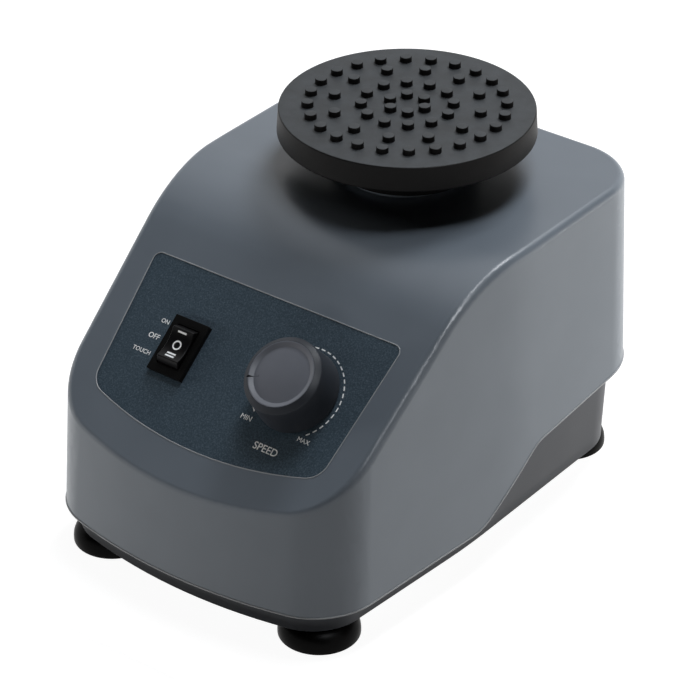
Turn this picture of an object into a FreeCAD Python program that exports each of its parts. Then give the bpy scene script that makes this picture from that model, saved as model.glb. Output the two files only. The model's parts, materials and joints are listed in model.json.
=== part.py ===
"""A bench-top orbital tube mixer as a parametric assembly, in millimetres.

The origin is on the bench, under the middle of the housing. X runs to the right seen from the
front, Y to the rear and Z up. Each sub-part is one labelled object, written to parts/LABEL.step.
"""
import FreeCAD, Part
import os
import re

import Sketcher
from FreeCAD import Vector

# Driving dimensions: lengths in millimetres, angles in degrees
SIZES = {
    # Cover: its outline at the lower edge, then heights, walls and edges
    "cover_width": 141.0,
    "cover_front": 94.85,
    "cover_rear": 93.3,
    "cover_bottom": 16.5,
    "cover_top": 116.0,
    "cover_wall": 2.5,
    "side_draft": 1.8,
    "front_draft": 3.5,
    "rear_draft": 1.0,
    "side_taper": 4.6,
    "taper_start": 10.0,
    "taper_blend": 250.0,
    "front_bow": 190.0,
    "front_corner": 25.0,
    "rear_corner": 25.0,
    "edge_radius": 3.0,
    "crown_radius": 60.0,
    "skirt_start": -9.0,
    "skirt_rise_angle": 33.5,
    "skirt_rear_level": 36.8,
    "skirt_rear_angle": 5.0,
    "skirt_toe": 18.0,
    "skirt_bend": 14.0,
    # Control panel: the middle of the label's upper edge on the slope, and the slope itself
    "panel_y": -34.7,
    "panel_z": 97.0,
    "panel_angle": 38.25,
    "label_half_width": 53.0,
    "label_length": 59.9,
    "label_taper": 4.28,
    "label_bow": 149.0,
    "label_upper_corner": 3.0,
    "label_lower_corner": 8.0,
    "label_thickness": 0.4,
    "label_recess": 0.5,
    "label_gap": 0.2,
    # Tub
    "tub_bottom": 8.0,
    "tub_top": 44.5,
    "tub_draft": 1.8,
    "tub_taper_start": -10.0,
    "tub_wall": 2.5,
    "tub_floor": 3.0,
    "tub_gap": 2.5,
    # Feet
    "foot_inset": 24.8,
    "foot_front_y": -71.3,
    "foot_rear_y": 76.8,
    "foot_diameter": 28.4,
    "foot_shoulder": 6.5,
    "foot_lip": 1.4,
    "foot_crown_diameter": 10.0,
    "foot_cup_depth": 4.5,
    "foot_screw_diameter": 4.0,
    "foot_screw_length": 12.0,
    # Cover fixing
    "fixing_front_inset": 20.9,
    "fixing_front_y": -50.0,
    "fixing_rear_inset": 14.9,
    "fixing_rear_y": 62.0,
    "fixing_boss_diameter": 10.0,
    "fixing_level": 30.0,
    "fixing_column_top": 60.0,
    "fixing_screw_diameter": 4.0,
    "fixing_screw_length": 26.0,
    "fixing_head_diameter": 7.0,
    "fixing_head_height": 2.5,
    "fixing_head_seat": 4.0,
    "rib_thickness": 3.0,
    # Fits
    "fit_gap": 0.05,
    "seat_gap": 0.3,
    # Rocker switch, in the panel's own frame
    "switch_x": -24.0,
    "switch_s": 29.3,
    "bezel_overhang": 0.5,
    "bezel_height": 2.0,
    "switch_depth": 20.0,
    "switch_wall": 2.0,
    "rocker_gap": 0.3,
    "rocker_width": 9.0,
    "rocker_radius": 7.8,
    "rocker_pivot_depth": 1.0,
    "rocker_end_height": 4.3,
    "rocker_dish": 1.4,
    "rocker_keel": 5.0,
    "rocker_pin_diameter": 2.0,
    "terminal_width": 4.8,
    "terminal_thickness": 0.8,
    "terminal_length": 8.0,
    "terminal_pitch": 6.0,
    "terminal_column": 5.8,
    # Speed control, in the panel's own frame
    "knob_x": 25.65,
    "knob_s": 27.3,
    "knob_base_diameter": 30.4,
    "knob_rim_diameter": 28.0,
    "knob_ring_diameter": 24.6,
    "knob_dish_diameter": 19.0,
    "knob_rim_height": 13.6,
    "knob_height": 15.0,
    "knob_dish_depth": 1.0,
    "knob_clearance": 0.6,
    "knob_hollow_diameter": 18.0,
    "knob_hollow_height": 4.5,
    "knob_pointer_angle": 204.0,
    "knob_notch_width": 1.6,
    "knob_notch_length": 3.6,
    "pot_diameter": 17.0,
    "pot_depth": 10.0,
    "pot_bush_diameter": 7.0,
    "pot_bush_height": 3.8,
    "pot_shaft_diameter": 6.0,
    "pot_shaft_height": 12.0,
    "pot_washer_diameter": 12.0,
    "pot_washer_thickness": 0.6,
    "pot_nut_width": 10.0,
    "pot_nut_height": 2.2,
    # Platform and head
    "platform_diameter": 90.0,
    "platform_top": 139.5,
    "platform_thickness": 9.2,
    "platform_edge": 0.8,
    "peg_diameter": 4.2,
    "peg_height": 2.0,
    "peg_bearing": 37.4,
    "peg_outer_ring": 34.5,
    "peg_second_ring": 26.0,
    "peg_third_ring": 16.0,
    "peg_inner_ring": 6.8,
    "peg_outer_angle": 15.0,
    "peg_second_angle": 30.0,
    "peg_third_angle": 30.0,
    "peg_inner_angle": 60.0,
    "spigot_diameter": 44.0,
    "spigot_height": 3.3,
    "head_diameter": 52.0,
    "skirt_depth": 12.0,
    "skirt_wall": 2.0,
    "head_web": 3.0,
    "head_hub_diameter": 24.0,
    "head_hub_depth": 12.7,
    "collar_bore": 38.8,
    "collar_wall": 1.8,
    "collar_height": 6.0,
    # Crank
    "orbit_radius": 2.25,
    "motor_y": 36.0,
    "head_bearing_diameter": 19.0,
    "head_bearing_width": 6.0,
    "head_bearing_drop": 1.5,
    "crank_pin_diameter": 6.0,
    "crank_pin_seat": 6.5,
    "crank_shoulder_diameter": 9.0,
    "clip_thickness": 0.8,
    "clip_reach": 1.8,
    "hub_diameter": 16.0,
    "hub_bottom": 92.0,
    "hub_top": 112.5,
    "counterweight_diameter": 40.0,
    "counterweight_height": 7.0,
    "set_screw_diameter": 4.0,
    # Guide ring that keeps the head from turning
    "guide_pin_diameter": 3.0,
    "guide_pin_circle": 15.0,
    "guide_pin_seat": 2.2,
    "guide_hole_slack": 0.3,
    "ring_diameter": 70.0,
    "ring_bore": 19.0,
    "ring_level": 104.5,
    "ring_thickness": 4.0,
    "standoff_x": 25.0,
    "standoff_y": 18.0,
    "standoff_diameter": 7.0,
    # Motor carriage
    "plate_level": 84.0,
    "plate_thickness": 4.0,
    "plate_width": 94.0,
    "plate_depth": 60.0,
    "plate_corner": 6.0,
    "post_x": 38.0,
    "post_y": 22.0,
    "post_diameter": 6.0,
    "post_boss_diameter": 14.0,
    "post_boss_top": 58.0,
    "post_seat": 20.0,
    "post_head": 2.5,
    "bush_diameter": 10.0,
    "bush_flange_diameter": 14.0,
    "bush_flange": 1.0,
    "bush_proud": 1.0,
    "spring_wire": 1.2,
    "spring_diameter": 10.4,
    "spring_turns": 6,
    # Motor
    "motor_diameter": 54.0,
    "can_wall": 1.5,
    "bell_thickness": 4.0,
    "can_length": 42.0,
    "shaft_diameter": 8.0,
    "shaft_bottom": 26.0,
    "shaft_top": 105.5,
    "bearing_diameter": 22.0,
    "bearing_width": 7.0,
    "bell_hub_diameter": 29.0,
    "bell_hub_depth": 5.0,
    "stator_bore": 36.0,
    "stator_length": 24.0,
    "winding_overhang": 4.5,
    "winding_wall": 4.0,
    "air_gap": 0.5,
    "rotor_length": 24.0,
    "motor_screw_circle": 20.0,
    # Small screws
    "screw_diameter": 3.0,
    "screw_head_diameter": 5.6,
    "screw_head_height": 2.0,
    "screw_length": 8.0,
    # Microswitch under the plate
    "microswitch_x": -42.0,
    "microswitch_width": 6.4,
    "microswitch_length": 20.0,
    "microswitch_height": 10.0,
    "plunger_width": 2.4,
    "plunger_rise": 2.4,
    "bracket_thickness": 1.5,
    "bracket_foot": 12.0,
    # Control board
    "board_y": -46.0,
    "board_width": 76.0,
    "board_depth": 52.0,
    "board_thickness": 1.6,
    "board_level": 24.0,
    "board_fixing_inset": 4.0,
    "standoff_post_diameter": 7.0,
    "sink_width": 30.0,
    "sink_height": 22.0,
    "sink_fin_depth": 8.0,
    "sink_base": 2.0,
    "sink_fin": 1.2,
    "triac_width": 10.0,
    "triac_height": 15.0,
    "triac_thickness": 4.4,
    "capacitor_width": 18.0,
    "capacitor_depth": 8.5,
    "capacitor_height": 14.0,
    "terminal_block_width": 30.0,
    "terminal_block_depth": 8.0,
    "terminal_block_height": 10.0,
    # Mains inlet in the rear wall
    "inlet_z": 60.5,
    "inlet_face": 94.85,
    "inlet_flange_width": 31.0,
    "inlet_flange_height": 25.0,
    "inlet_flange": 2.0,
    "inlet_body_width": 27.0,
    "inlet_body_height": 20.0,
    "inlet_depth": 16.0,
    "socket_width": 24.4,
    "socket_height": 16.8,
    "socket_corner": 4.0,
    "socket_depth": 14.0,
    "inlet_pad_margin": 3.0,
    "inlet_pad_depth": 3.0,
    "inlet_pin_pitch": 7.0,
    "inlet_pin_width": 2.0,
    "inlet_pin_height": 4.0,
    "inlet_pin_length": 11.0,
    "inlet_pin_drop": 2.0,
    "inlet_tail": 7.0,
    # Overshoot of tools that cut right through
    "cut_margin": 6.0,
}

# Places worked out from the driving dimensions
PLACES = {
    "panel_sine": "sin(panel_angle)",
    "panel_cosine": "cos(panel_angle)",
    "panel_tangent": "tan(panel_angle)",
    "head_y": "motor_y + orbit_radius",
    "platform_bottom": "platform_top - platform_thickness",
    "head_web_bottom": "platform_bottom - head_web",
    "head_hub_bottom": "platform_bottom - head_hub_depth",
    "bearing_seat_top": "head_web_bottom - head_bearing_drop",
    "bearing_seat_bottom": "bearing_seat_top - head_bearing_width",
    "plate_top": "plate_level + plate_thickness",
    "ring_top": "ring_level + ring_thickness",
    "can_top": "plate_level - bell_thickness",
    "can_bottom": "can_top - can_length",
    "motor_bottom": "can_bottom - bell_thickness",
    "motor_middle": "(can_top + can_bottom) / 2",
    "can_bore": "motor_diameter - 2 * can_wall",
    "bush_bottom": "plate_level - bush_flange",
    "bush_top": "plate_top + bush_proud",
    "post_groove": "bush_top + seat_gap",
    "post_top": "post_groove + clip_thickness + post_head",
    "floor_top": "tub_bottom + tub_floor",
    "fixing_seat": "tub_bottom + fixing_head_seat",
    "board_top": "board_level + board_thickness",
    "pocket_floor": "inlet_face - inlet_flange",
    "inlet_back": "pocket_floor - inlet_depth",
    "label_top": "label_thickness - label_recess",
    "foot_x": "cover_width / 2 - foot_inset",
    "fixing_front_x": "cover_width / 2 - fixing_front_inset",
    "fixing_rear_x": "cover_width / 2 - fixing_rear_inset",
    "well_width": "rocker_width + 2 * rocker_gap",
    "well_radius": "rocker_radius + rocker_gap",
    "switch_body_width": "well_width + 2 * switch_wall",
    "switch_body_length": "2 * well_radius + 2 * switch_wall",
    "bezel_width": "switch_body_width + 2 * bezel_overhang",
    "bezel_length": "switch_body_length + 2 * bezel_overhang",
    "microswitch_top": "plate_level - seat_gap - plunger_rise",
    "microswitch_bottom": "microswitch_top - microswitch_height",
}

# Rings of pegs on the platform: the radius, the angle between pegs, and the turn from the first bearing
PEG_RINGS = (
    ("peg_outer_ring", "peg_outer_angle", "0"),
    ("peg_second_ring", "peg_second_angle", "peg_second_angle / 2"),
    ("peg_third_ring", "peg_third_angle", "0"),
    ("peg_inner_ring", "peg_inner_angle", "0"),
)
SIDES = (("left", -1), ("right", 1))

doc = FreeCAD.newDocument("orbital_mixer")
sizes = doc.addObject("Spreadsheet::Sheet", "Sizes")
places = doc.addObject("Spreadsheet::Sheet", "Places")
nodes = []


# Sheets and expressions

def bound(expression):
    """Write an expression over the sheets' names the way the document reads it."""
    def full_name(match):
        word = match.group(0)
        if word in SIZES:
            return "Sizes." + word
        if word in PLACES:
            return "Places." + word
        return word
    return re.sub(r"[a-z][a-z0-9_]*", full_name, str(expression))


def fill(sheet, cells, as_formula):
    for row, (alias, content) in enumerate(cells.items(), 1):
        sheet.set(f"A{row}", alias)
        sheet.set(f"B{row}", "=" + bound(content) if as_formula else str(content))
        sheet.setAlias(f"B{row}", alias)
    doc.recompute()


def value(expression):
    """The present number of an expression, for first guesses and for picking edges."""
    result = places.evalExpression(bound(expression))
    return float(getattr(result, "Value", result))


fill(sizes, SIZES, False)
fill(places, PLACES, True)


# Placing

UPRIGHT = ("0; 0; 1", "0")
ALONG_X = ("0; 1; 0", "90")
ALONG_Y = ("1; 0; 0", "-90")
PANEL = "placement(vector(0; panel_y; panel_z); rotation(vector(1; 0; 0); panel_angle))"


def place(piece, at, turn=UPRIGHT, on_panel=False):
    """Bind a placement. On the panel, x is right, y is up the slope and z stands off it."""
    x, y, z = at
    axis, angle = turn
    local = f"placement(vector({x}; {y}; {z}); rotation(vector({axis}); {angle}))"
    piece.setExpression("Placement", bound(f"{PANEL} * {local}" if on_panel else local))
    return piece


def node(piece, label):
    piece.Label = label
    nodes.append(piece)
    return piece


# Primitives and booleans

def rod(name, diameter, length, at, turn=UPRIGHT, on_panel=False):
    piece = doc.addObject("Part::Cylinder", name)
    piece.setExpression("Radius", bound(f"({diameter}) / 2"))
    piece.setExpression("Height", bound(length))
    return place(piece, at, turn, on_panel)


def block(name, low, high, on_panel=False):
    """A box between two corners."""
    piece = doc.addObject("Part::Box", name)
    for side, start, end in zip(("Length", "Width", "Height"), low, high):
        piece.setExpression(side, bound(f"({end}) - ({start})"))
    return place(piece, low, on_panel=on_panel)


def join(name, *pieces):
    piece = doc.addObject("Part::MultiFuse", name)
    piece.Shapes = list(pieces)
    return piece


def trim(name, base, *tools):
    piece = doc.addObject("Part::Cut", name)
    piece.Base = base
    piece.Tool = tools[0] if len(tools) == 1 else join(name + "_tools", *tools)
    return piece


def keep_common(name, base, tool):
    piece = doc.addObject("Part::Common", name)
    piece.Base = base
    piece.Tool = tool
    return piece


def group(name, pieces):
    piece = doc.addObject("Part::Compound", name)
    piece.Links = list(pieces)
    return piece


# Sketches and bodies

def new_sketch(body, name, plane, level="0"):
    sketch = body.newObject("Sketcher::SketchObject", name)
    support = [item for item in body.Origin.OriginFeatures if item.Role == plane][0]
    sketch.AttachmentSupport = (support, "")
    sketch.MapMode = "FlatFace"
    sketch.setExpression("AttachmentOffset.Base.z", bound(level))
    return sketch


def hold(sketch, kind, element, point, size):
    """Hold a sketch point at a bound distance from the origin."""
    index = sketch.addConstraint(Sketcher.Constraint(kind, -1, 1, element, point, value(size)))
    sketch.setExpression(f"Constraints[{index}]", bound(size))


def outline(body, name, plane, corners, level="0"):
    """A closed outline of straight runs, with every corner held by two bound distances."""
    sketch = new_sketch(body, name, plane, level)
    points = [Vector(value(x), value(y), 0) for x, y in corners]
    count = len(points)
    for index, point in enumerate(points):
        sketch.addGeometry(Part.LineSegment(point, points[(index + 1) % count]), False)
    for index in range(count):
        sketch.addConstraint(Sketcher.Constraint("Coincident", index, 2, (index + 1) % count, 1))
    for index, (x, y) in enumerate(corners):
        hold(sketch, "DistanceX", index, 1, x)
        hold(sketch, "DistanceY", index, 1, y)
    return sketch


def circle(body, name, x, y, diameter, level):
    sketch = new_sketch(body, name, "XY_Plane", level)
    centre = Vector(value(x), value(y), 0)
    sketch.addGeometry(Part.Circle(centre, Vector(0, 0, 1), value(diameter) / 2), False)
    hold(sketch, "DistanceX", 0, 3, x)
    hold(sketch, "DistanceY", 0, 3, y)
    index = sketch.addConstraint(Sketcher.Constraint("Diameter", 0, value(diameter)))
    sketch.setExpression(f"Constraints[{index}]", bound(diameter))
    return sketch


def bowed_outline(body, name, level, right_side, front, bow, blend=None, corners=None):
    """A mirror-symmetric outline whose front is an arc with its middle at y = -front.

    right_side lists the corners from the rear to the front. The last one only aims the last run,
    which stops at the front. A blend radius rounds the corner before the taper, and corners gives
    the radii at the rear and at the front.
    """
    sketch = new_sketch(body, name, "XY_Plane", level)
    stations = list(right_side[:-1])
    radii = {}
    if blend:
        corner_x, corner_y = stations[1]
        reach = f"({blend}) * tan(side_taper / 2)"
        before = (corner_x, f"{corner_y} + {reach}")
        after = (f"{corner_x} - {reach} * sin(side_taper)", f"{corner_y} - {reach} * cos(side_taper)")
        stations[1:2] = [before, after]
        radii[1] = blend
    if corners:
        corner_x, corner_y = stations[0]
        before = (f"{corner_x} - ({corners[0]})", corner_y)
        after = (corner_x, f"{corner_y} - ({corners[0]})")
        stations[0:1] = [before, after]
        radii = {index + 1: radius for index, radius in radii.items()}
        radii[0] = corners[0]
        radii[len(stations)] = corners[1]
    path = [Vector(value(x), value(y), 0) for x, y in stations]
    aim_point = Vector(value(right_side[-1][0]), value(right_side[-1][1]), 0)
    aim = aim_point - path[-1]
    aim.normalize()
    inward = Vector(aim.y, -aim.x, 0)
    centre = Vector(0, value(bow) - value(front), 0)
    corner_radius = value(corners[1]) if corners else 0
    offset = path[-1] + inward * corner_radius - centre
    along = aim.dot(offset)
    run = -along + (along ** 2 - offset.Length ** 2 + (value(bow) - corner_radius) ** 2) ** 0.5
    guide_start = path[-1]
    path.append(guide_start + aim * run)
    if corners:
        corner_centre = path[-1] + inward * corner_radius
        outward = corner_centre - centre
        outward.normalize()
        path.append(centre + outward * value(bow))

    def line(start, end, helper=False):
        return sketch.addGeometry(Part.LineSegment(start, end), helper)

    def arc(centre_point, radius, start, end):
        """An arc that runs anticlockwise from the start to the end."""
        full = Part.Circle(centre_point, Vector(0, 0, 1), radius)
        return sketch.addGeometry(Part.ArcOfCircle(full, full.parameter(start), full.parameter(end)), False)

    def curve_centre(start, end, radius):
        """Centre of a right-hand arc that turns clockwise from the rear to the front."""
        chord = end - start
        half = chord.Length / 2
        side = Vector(chord.y, -chord.x, 0)
        side.normalize()
        return (start + end) * 0.5 + side * (radius ** 2 - half ** 2) ** 0.5

    def meet_at(first, first_end, second, second_end, kind="Coincident"):
        sketch.addConstraint(Sketcher.Constraint(kind, first, first_end, second, second_end))

    def set_radius(element, radius):
        index = sketch.addConstraint(Sketcher.Constraint("Radius", element, value(radius)))
        sketch.setExpression(f"Constraints[{index}]", bound(radius))

    # Each run is kept as (element, its rear end, its front end)
    mirrored = [Vector(-point.x, point.y, 0) for point in path]
    rear = line(mirrored[0], path[0])
    right_runs = []
    left_runs = []
    for index, (start, end) in enumerate(zip(path, path[1:])):
        if index in radii:
            middle = curve_centre(start, end, value(radii[index]))
            right_runs.append((arc(middle, value(radii[index]), end, start), 2, 1))
        else:
            right_runs.append((line(start, end), 1, 2))
    bow_arc = arc(centre, value(bow), mirrored[-1], path[-1])
    for index, (start, end) in enumerate(zip(mirrored, mirrored[1:])):
        if index in radii:
            middle = curve_centre(path[index], path[index + 1], value(radii[index]))
            left_runs.append((arc(Vector(-middle.x, middle.y, 0), value(radii[index]), start, end), 1, 2))
        else:
            left_runs.append((line(end, start), 2, 1))
    guide = line(guide_start, aim_point, True)

    meet_at(rear, 2, *right_runs[0][:2])
    meet_at(rear, 1, *left_runs[0][:2])
    for runs in (right_runs, left_runs):
        for index, (nearer, farther) in enumerate(zip(runs, runs[1:])):
            at_front_corner = corners and runs is right_runs and index == len(runs) - 2
            meeting = "Tangent" if at_front_corner else "Coincident"
            meet_at(nearer[0], nearer[2], farther[0], farther[1], meeting)
    meet_at(right_runs[-1][0], right_runs[-1][2], bow_arc, 2, "Tangent" if corners else "Coincident")
    meet_at(left_runs[-1][0], left_runs[-1][2], bow_arc, 1)
    straight = len(stations) - 1
    meet_at(guide, 1, *right_runs[straight][:2])
    hold(sketch, "DistanceX", guide, 2, right_side[-1][0])
    hold(sketch, "DistanceY", guide, 2, right_side[-1][1])
    for (x, y), right_run, left_run in zip(stations, right_runs, left_runs):
        hold(sketch, "DistanceX", right_run[0], right_run[1], x)
        hold(sketch, "DistanceY", right_run[0], right_run[1], y)
        sketch.addConstraint(Sketcher.Constraint("Symmetric", *right_run[:2], *left_run[:2], -2))
    line_end = (right_runs[straight][0], right_runs[straight][2])
    sketch.addConstraint(Sketcher.Constraint("PointOnObject", *line_end, guide))
    if corners:
        mirror_end = (left_runs[straight][0], left_runs[straight][2])
        sketch.addConstraint(Sketcher.Constraint("Symmetric", *line_end, *mirror_end, -2))
    for index, radius in radii.items():
        set_radius(right_runs[index][0], radius)
        set_radius(left_runs[index][0], radius)
    sketch.addConstraint(Sketcher.Constraint("PointOnObject", bow_arc, 3, -2))
    hold(sketch, "DistanceY", bow_arc, 3, f"({bow}) - ({front})")
    set_radius(bow_arc, bow)
    sketch.addConstraint(Sketcher.Constraint("Horizontal", bow_arc, 2, bow_arc, 1))
    return sketch


def new_body(name):
    return doc.addObject("PartDesign::Body", name)


def turned(name, corners, at, turn=UPRIGHT, on_panel=False):
    """A body revolved about its own Z axis from (radius, height) corners."""
    body = new_body(name)
    sketch = outline(body, name + "_profile", "XZ_Plane", corners)
    feature = body.newObject("PartDesign::Revolution", name + "_turn")
    feature.Profile = sketch
    feature.ReferenceAxis = (sketch, ["V_Axis"])
    feature.Angle = 360
    place(body, at, turn, on_panel)
    return body


def pad(body, sketch, name, length, both_ways=False):
    feature = body.newObject("PartDesign::Pad", name)
    feature.Profile = sketch
    feature.SideType = "Symmetric" if both_ways else "One side"
    feature.setExpression("Length", bound(length))
    return feature


def padded(name, corners, length, at, turn=UPRIGHT, on_panel=False):
    """A body padded up its own Z axis from (x, y) corners."""
    body = new_body(name)
    pad(body, outline(body, name + "_outline", "XY_Plane", corners), name + "_pad", length)
    place(body, at, turn, on_panel)
    return body


def rectangle(width, depth, x="0", y="0"):
    return (
        (f"({x}) - ({width}) / 2", f"({y}) - ({depth}) / 2"),
        (f"({x}) + ({width}) / 2", f"({y}) - ({depth}) / 2"),
        (f"({x}) + ({width}) / 2", f"({y}) + ({depth}) / 2"),
        (f"({x}) - ({width}) / 2", f"({y}) + ({depth}) / 2"),
    )


def round_edges(body, name, radius, wanted):
    """Fillet the edges of a body's present tip that a test picks by the edge and its faces."""
    doc.recompute()
    tip = body.Tip
    picked = []
    for index, edge in enumerate(tip.Shape.Edges, 1):
        if wanted(edge, tip.Shape.ancestorsOfType(edge, Part.Face)):
            picked.append(f"Edge{index}")
    feature = body.newObject("PartDesign::Fillet", name)
    feature.Base = (tip, picked)
    feature.setExpression("Radius", bound(radius))
    return feature


def middle_of(edge):
    return edge.valueAt((edge.FirstParameter + edge.LastParameter) / 2)


def is_upright(edge, faces):
    run = edge.valueAt(edge.LastParameter) - edge.valueAt(edge.FirstParameter)
    return abs(run.z) > abs(run.x) + abs(run.y)


def is_upper_rim(edge, faces):
    """True where a face that looks up meets a wall."""
    spot = middle_of(edge)
    lifts = [face.normalAt(*face.Surface.parameter(spot)).z for face in faces]
    return max(lifts) > 0.5 and min(lifts) < 0.3


def crosses_at(y, z):
    """A test for edges that cross the body through a place seen from the side."""
    def test(edge, faces):
        ends = (edge.valueAt(edge.FirstParameter), edge.valueAt(edge.LastParameter))
        return all(abs(point.y - y) + abs(point.z - z) < 0.01 for point in ends)
    return test


def uprights_between(rear, front):
    """A test for upright edges whose middle lies between two places along Y."""
    def test(edge, faces):
        return is_upright(edge, faces) and front < middle_of(edge).y < rear
    return test


# Housing outlines

def cover_section(level, inset):
    """Right-hand corners and front of the drafted cover at a level, moved in by an inset."""
    rise = f"(({level}) - cover_bottom)"
    half_width = f"cover_width / 2 - {rise} * tan(side_draft) - ({inset})"
    front = f"cover_front - {rise} * tan(front_draft) - ({inset})"
    rear = f"cover_rear - {rise} * tan(rear_draft) - ({inset})"
    narrowed = f"{half_width} - tan(side_taper) * (taper_start + {front})"
    corners = ((half_width, rear), (half_width, "taper_start"), (narrowed, f"-({front})"))
    return corners, front


def lofted(name, sections, inset):
    """A ruled loft between two (level, corners, front) outlines, rounded for walls moved in by an inset."""
    body = new_body(name)
    radii = (f"rear_corner - ({inset})", f"front_corner - ({inset})")
    sketches = []
    for end, (level, right_side, front) in zip(("low", "high"), sections):
        sketches.append(bowed_outline(body, f"{name}_{end}", level, right_side, front,
                                      "front_bow", "taper_blend", radii))
    loft = body.newObject("PartDesign::AdditiveLoft", name + "_loft")
    loft.Profile = sketches[0]
    loft.Sections = [sketches[1]]
    loft.Ruled = True
    return body


def side_view(name, inset, bottom):
    """The cover's profile seen from the side: flat top, crown arc, slope. It runs past front and rear."""
    body = new_body(name)
    slope_y = f"(panel_y + ({inset}) * panel_sine)"
    slope_z = f"(panel_z - ({inset}) * panel_cosine)"
    top = f"cover_top - ({inset})"
    front = "-cover_front - cut_margin"
    rear = "cover_rear + cut_margin"
    crown = f"{slope_y} + ({top} - {slope_z}) / panel_tangent"
    corners = (
        (rear, bottom),
        (rear, top),
        (crown, top),
        (front, f"{slope_z} + ({front} - {slope_y}) * panel_tangent"),
        (front, bottom),
    )
    sketch = outline(body, name + "_outline", "YZ_Plane", corners)
    pad(body, sketch, name + "_pad", "cover_width + 2 * cut_margin", both_ways=True)
    at_crown = crosses_at(value(crown), value(top))
    round_edges(body, name + "_crown", f"crown_radius - ({inset})", at_crown)
    doc.recompute()
    return body


# Top cover

def cover_solid(name, inset, bottom):
    """The cover's full form, moved in by an inset: lofted walls under the side profile."""
    sections = []
    for level in (bottom, "cover_top + cut_margin"):
        corners, front = cover_section(level, inset)
        sections.append((level, corners, front))
    body = lofted(name, sections, inset)
    cap = body.newObject("PartDesign::Boolean", name + "_cap")
    cap.Type = "Common"
    cap.setObjects([side_view(name + "_side", inset, f"({bottom}) - cut_margin")])
    doc.recompute()
    return body


def wall_x(y, level, tapered):
    """Middle of the cover's side wall at a place along it."""
    narrowing = f"tan(side_taper) * (taper_start - ({y}))" if tapered else "0"
    drawn_in = f"(({level}) - cover_bottom) * tan(side_draft)"
    return f"cover_width / 2 - cover_wall / 2 - {narrowing} - {drawn_in}"


FIXINGS = (
    ("front", "fixing_front_x", "fixing_front_y", True),
    ("rear", "fixing_rear_x", "fixing_rear_y", False),
)


def cover_columns():
    """Screw columns inside the cover, each with a rib into the side wall above the tub."""
    columns = []
    bores = []
    for end, x, y, tapered in FIXINGS:
        for side, sign in SIDES:
            name = f"cover_column_{end}_{side}"
            at = (f"{sign} * {x}", y, "fixing_level")
            columns.append(rod(name, "fixing_boss_diameter", "fixing_column_top - fixing_level", at))
            wall = f"{sign} * ({wall_x(y, 'fixing_column_top', tapered)})"
            ends = (f"{sign} * {x}", wall) if sign > 0 else (wall, f"{sign} * {x}")
            low = (ends[0], f"{y} - rib_thickness / 2", "tub_top + seat_gap * 4")
            high = (ends[1], f"{y} + rib_thickness / 2", "fixing_column_top")
            columns.append(block(name + "_rib", low, high))
            bores.append(rod(name + "_bore", "fixing_screw_diameter + 2 * fit_gap",
                             "fixing_seat + fixing_screw_length - fixing_level + seat_gap", at))
    return columns, bores


def label_corners(gap):
    """Right-hand corners of the label's outline, moved in by a gap."""
    return (
        (f"label_half_width - ({gap})", f"-({gap})"),
        (f"label_half_width - ({gap}) - label_length * tan(label_taper)", "-label_length"),
    )


def label_body(name, gap, thickness):
    body = new_body(name)
    sketch = bowed_outline(body, name + "_outline", "-label_recess", label_corners(gap),
                           f"label_length - ({gap})", "label_bow")
    pad(body, sketch, name + "_pad", thickness)
    half_way = -value("label_length") / 2
    lower_end = 3 * half_way
    round_edges(body, name + "_upper", f"label_upper_corner - ({gap})",
                uprights_between(-lower_end, half_way))
    round_edges(body, name + "_lower", f"label_lower_corner - ({gap})",
                uprights_between(half_way, lower_end))
    return place(body, ("0", "0", "0"), on_panel=True)


def panel_holes(name):
    """Openings through the slope for the switch and the speed control."""
    depth = "cover_wall + cut_margin"
    half_width = "(switch_body_width / 2 + fit_gap)"
    half_length = "(switch_body_length / 2 + fit_gap)"
    switch = block(name + "_switch",
                   (f"switch_x - {half_width}", f"-switch_s - {half_length}", f"-({depth})"),
                   (f"switch_x + {half_width}", f"-switch_s + {half_length}", depth), on_panel=True)
    control = rod(name + "_control", "pot_bush_diameter + 2 * fit_gap", f"2 * ({depth})",
                  ("knob_x", "-knob_s", f"-({depth})"), on_panel=True)
    return switch, control


def skirt_cutter():
    """What is taken off below the stepped lower edge, from the diagonal rise to the rear."""
    body = new_body("skirt_cutter")
    bend_y = "(skirt_start + (skirt_rear_level - cover_bottom) / tan(skirt_rise_angle))"
    rear_y = "(cover_rear + cut_margin)"
    low = "cover_bottom - cut_margin"
    corners = (
        ("skirt_start - skirt_toe", low),
        ("skirt_start - skirt_toe", "cover_bottom"),
        ("skirt_start", "cover_bottom"),
        (bend_y, "skirt_rear_level"),
        (rear_y, f"skirt_rear_level + ({rear_y} - {bend_y}) * tan(skirt_rear_angle)"),
        (rear_y, low),
    )
    sketch = outline(body, "skirt_cutter_outline", "YZ_Plane", corners)
    pad(body, sketch, "skirt_cutter_pad", "cover_width + 2 * cut_margin", both_ways=True)
    at_toe = crosses_at(value("skirt_start"), value("cover_bottom"))
    round_edges(body, "skirt_cutter_toe", "skirt_toe", at_toe)
    at_bend = crosses_at(value(bend_y), value("skirt_rear_level"))
    round_edges(body, "skirt_cutter_bend", "skirt_bend", at_bend)
    return body


def inlet_pad():
    """Thickened patch behind the rear wall that carries the mains inlet."""
    half_width = "inlet_flange_width / 2 + inlet_pad_margin"
    half_height = "inlet_flange_height / 2 + inlet_pad_margin"
    low = (f"-({half_width})", "pocket_floor - inlet_pad_depth", f"inlet_z - ({half_height})")
    high = (half_width, "inlet_face - inlet_flange / 2", f"inlet_z + ({half_height})")
    return block("inlet_pad", low, high)


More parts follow.
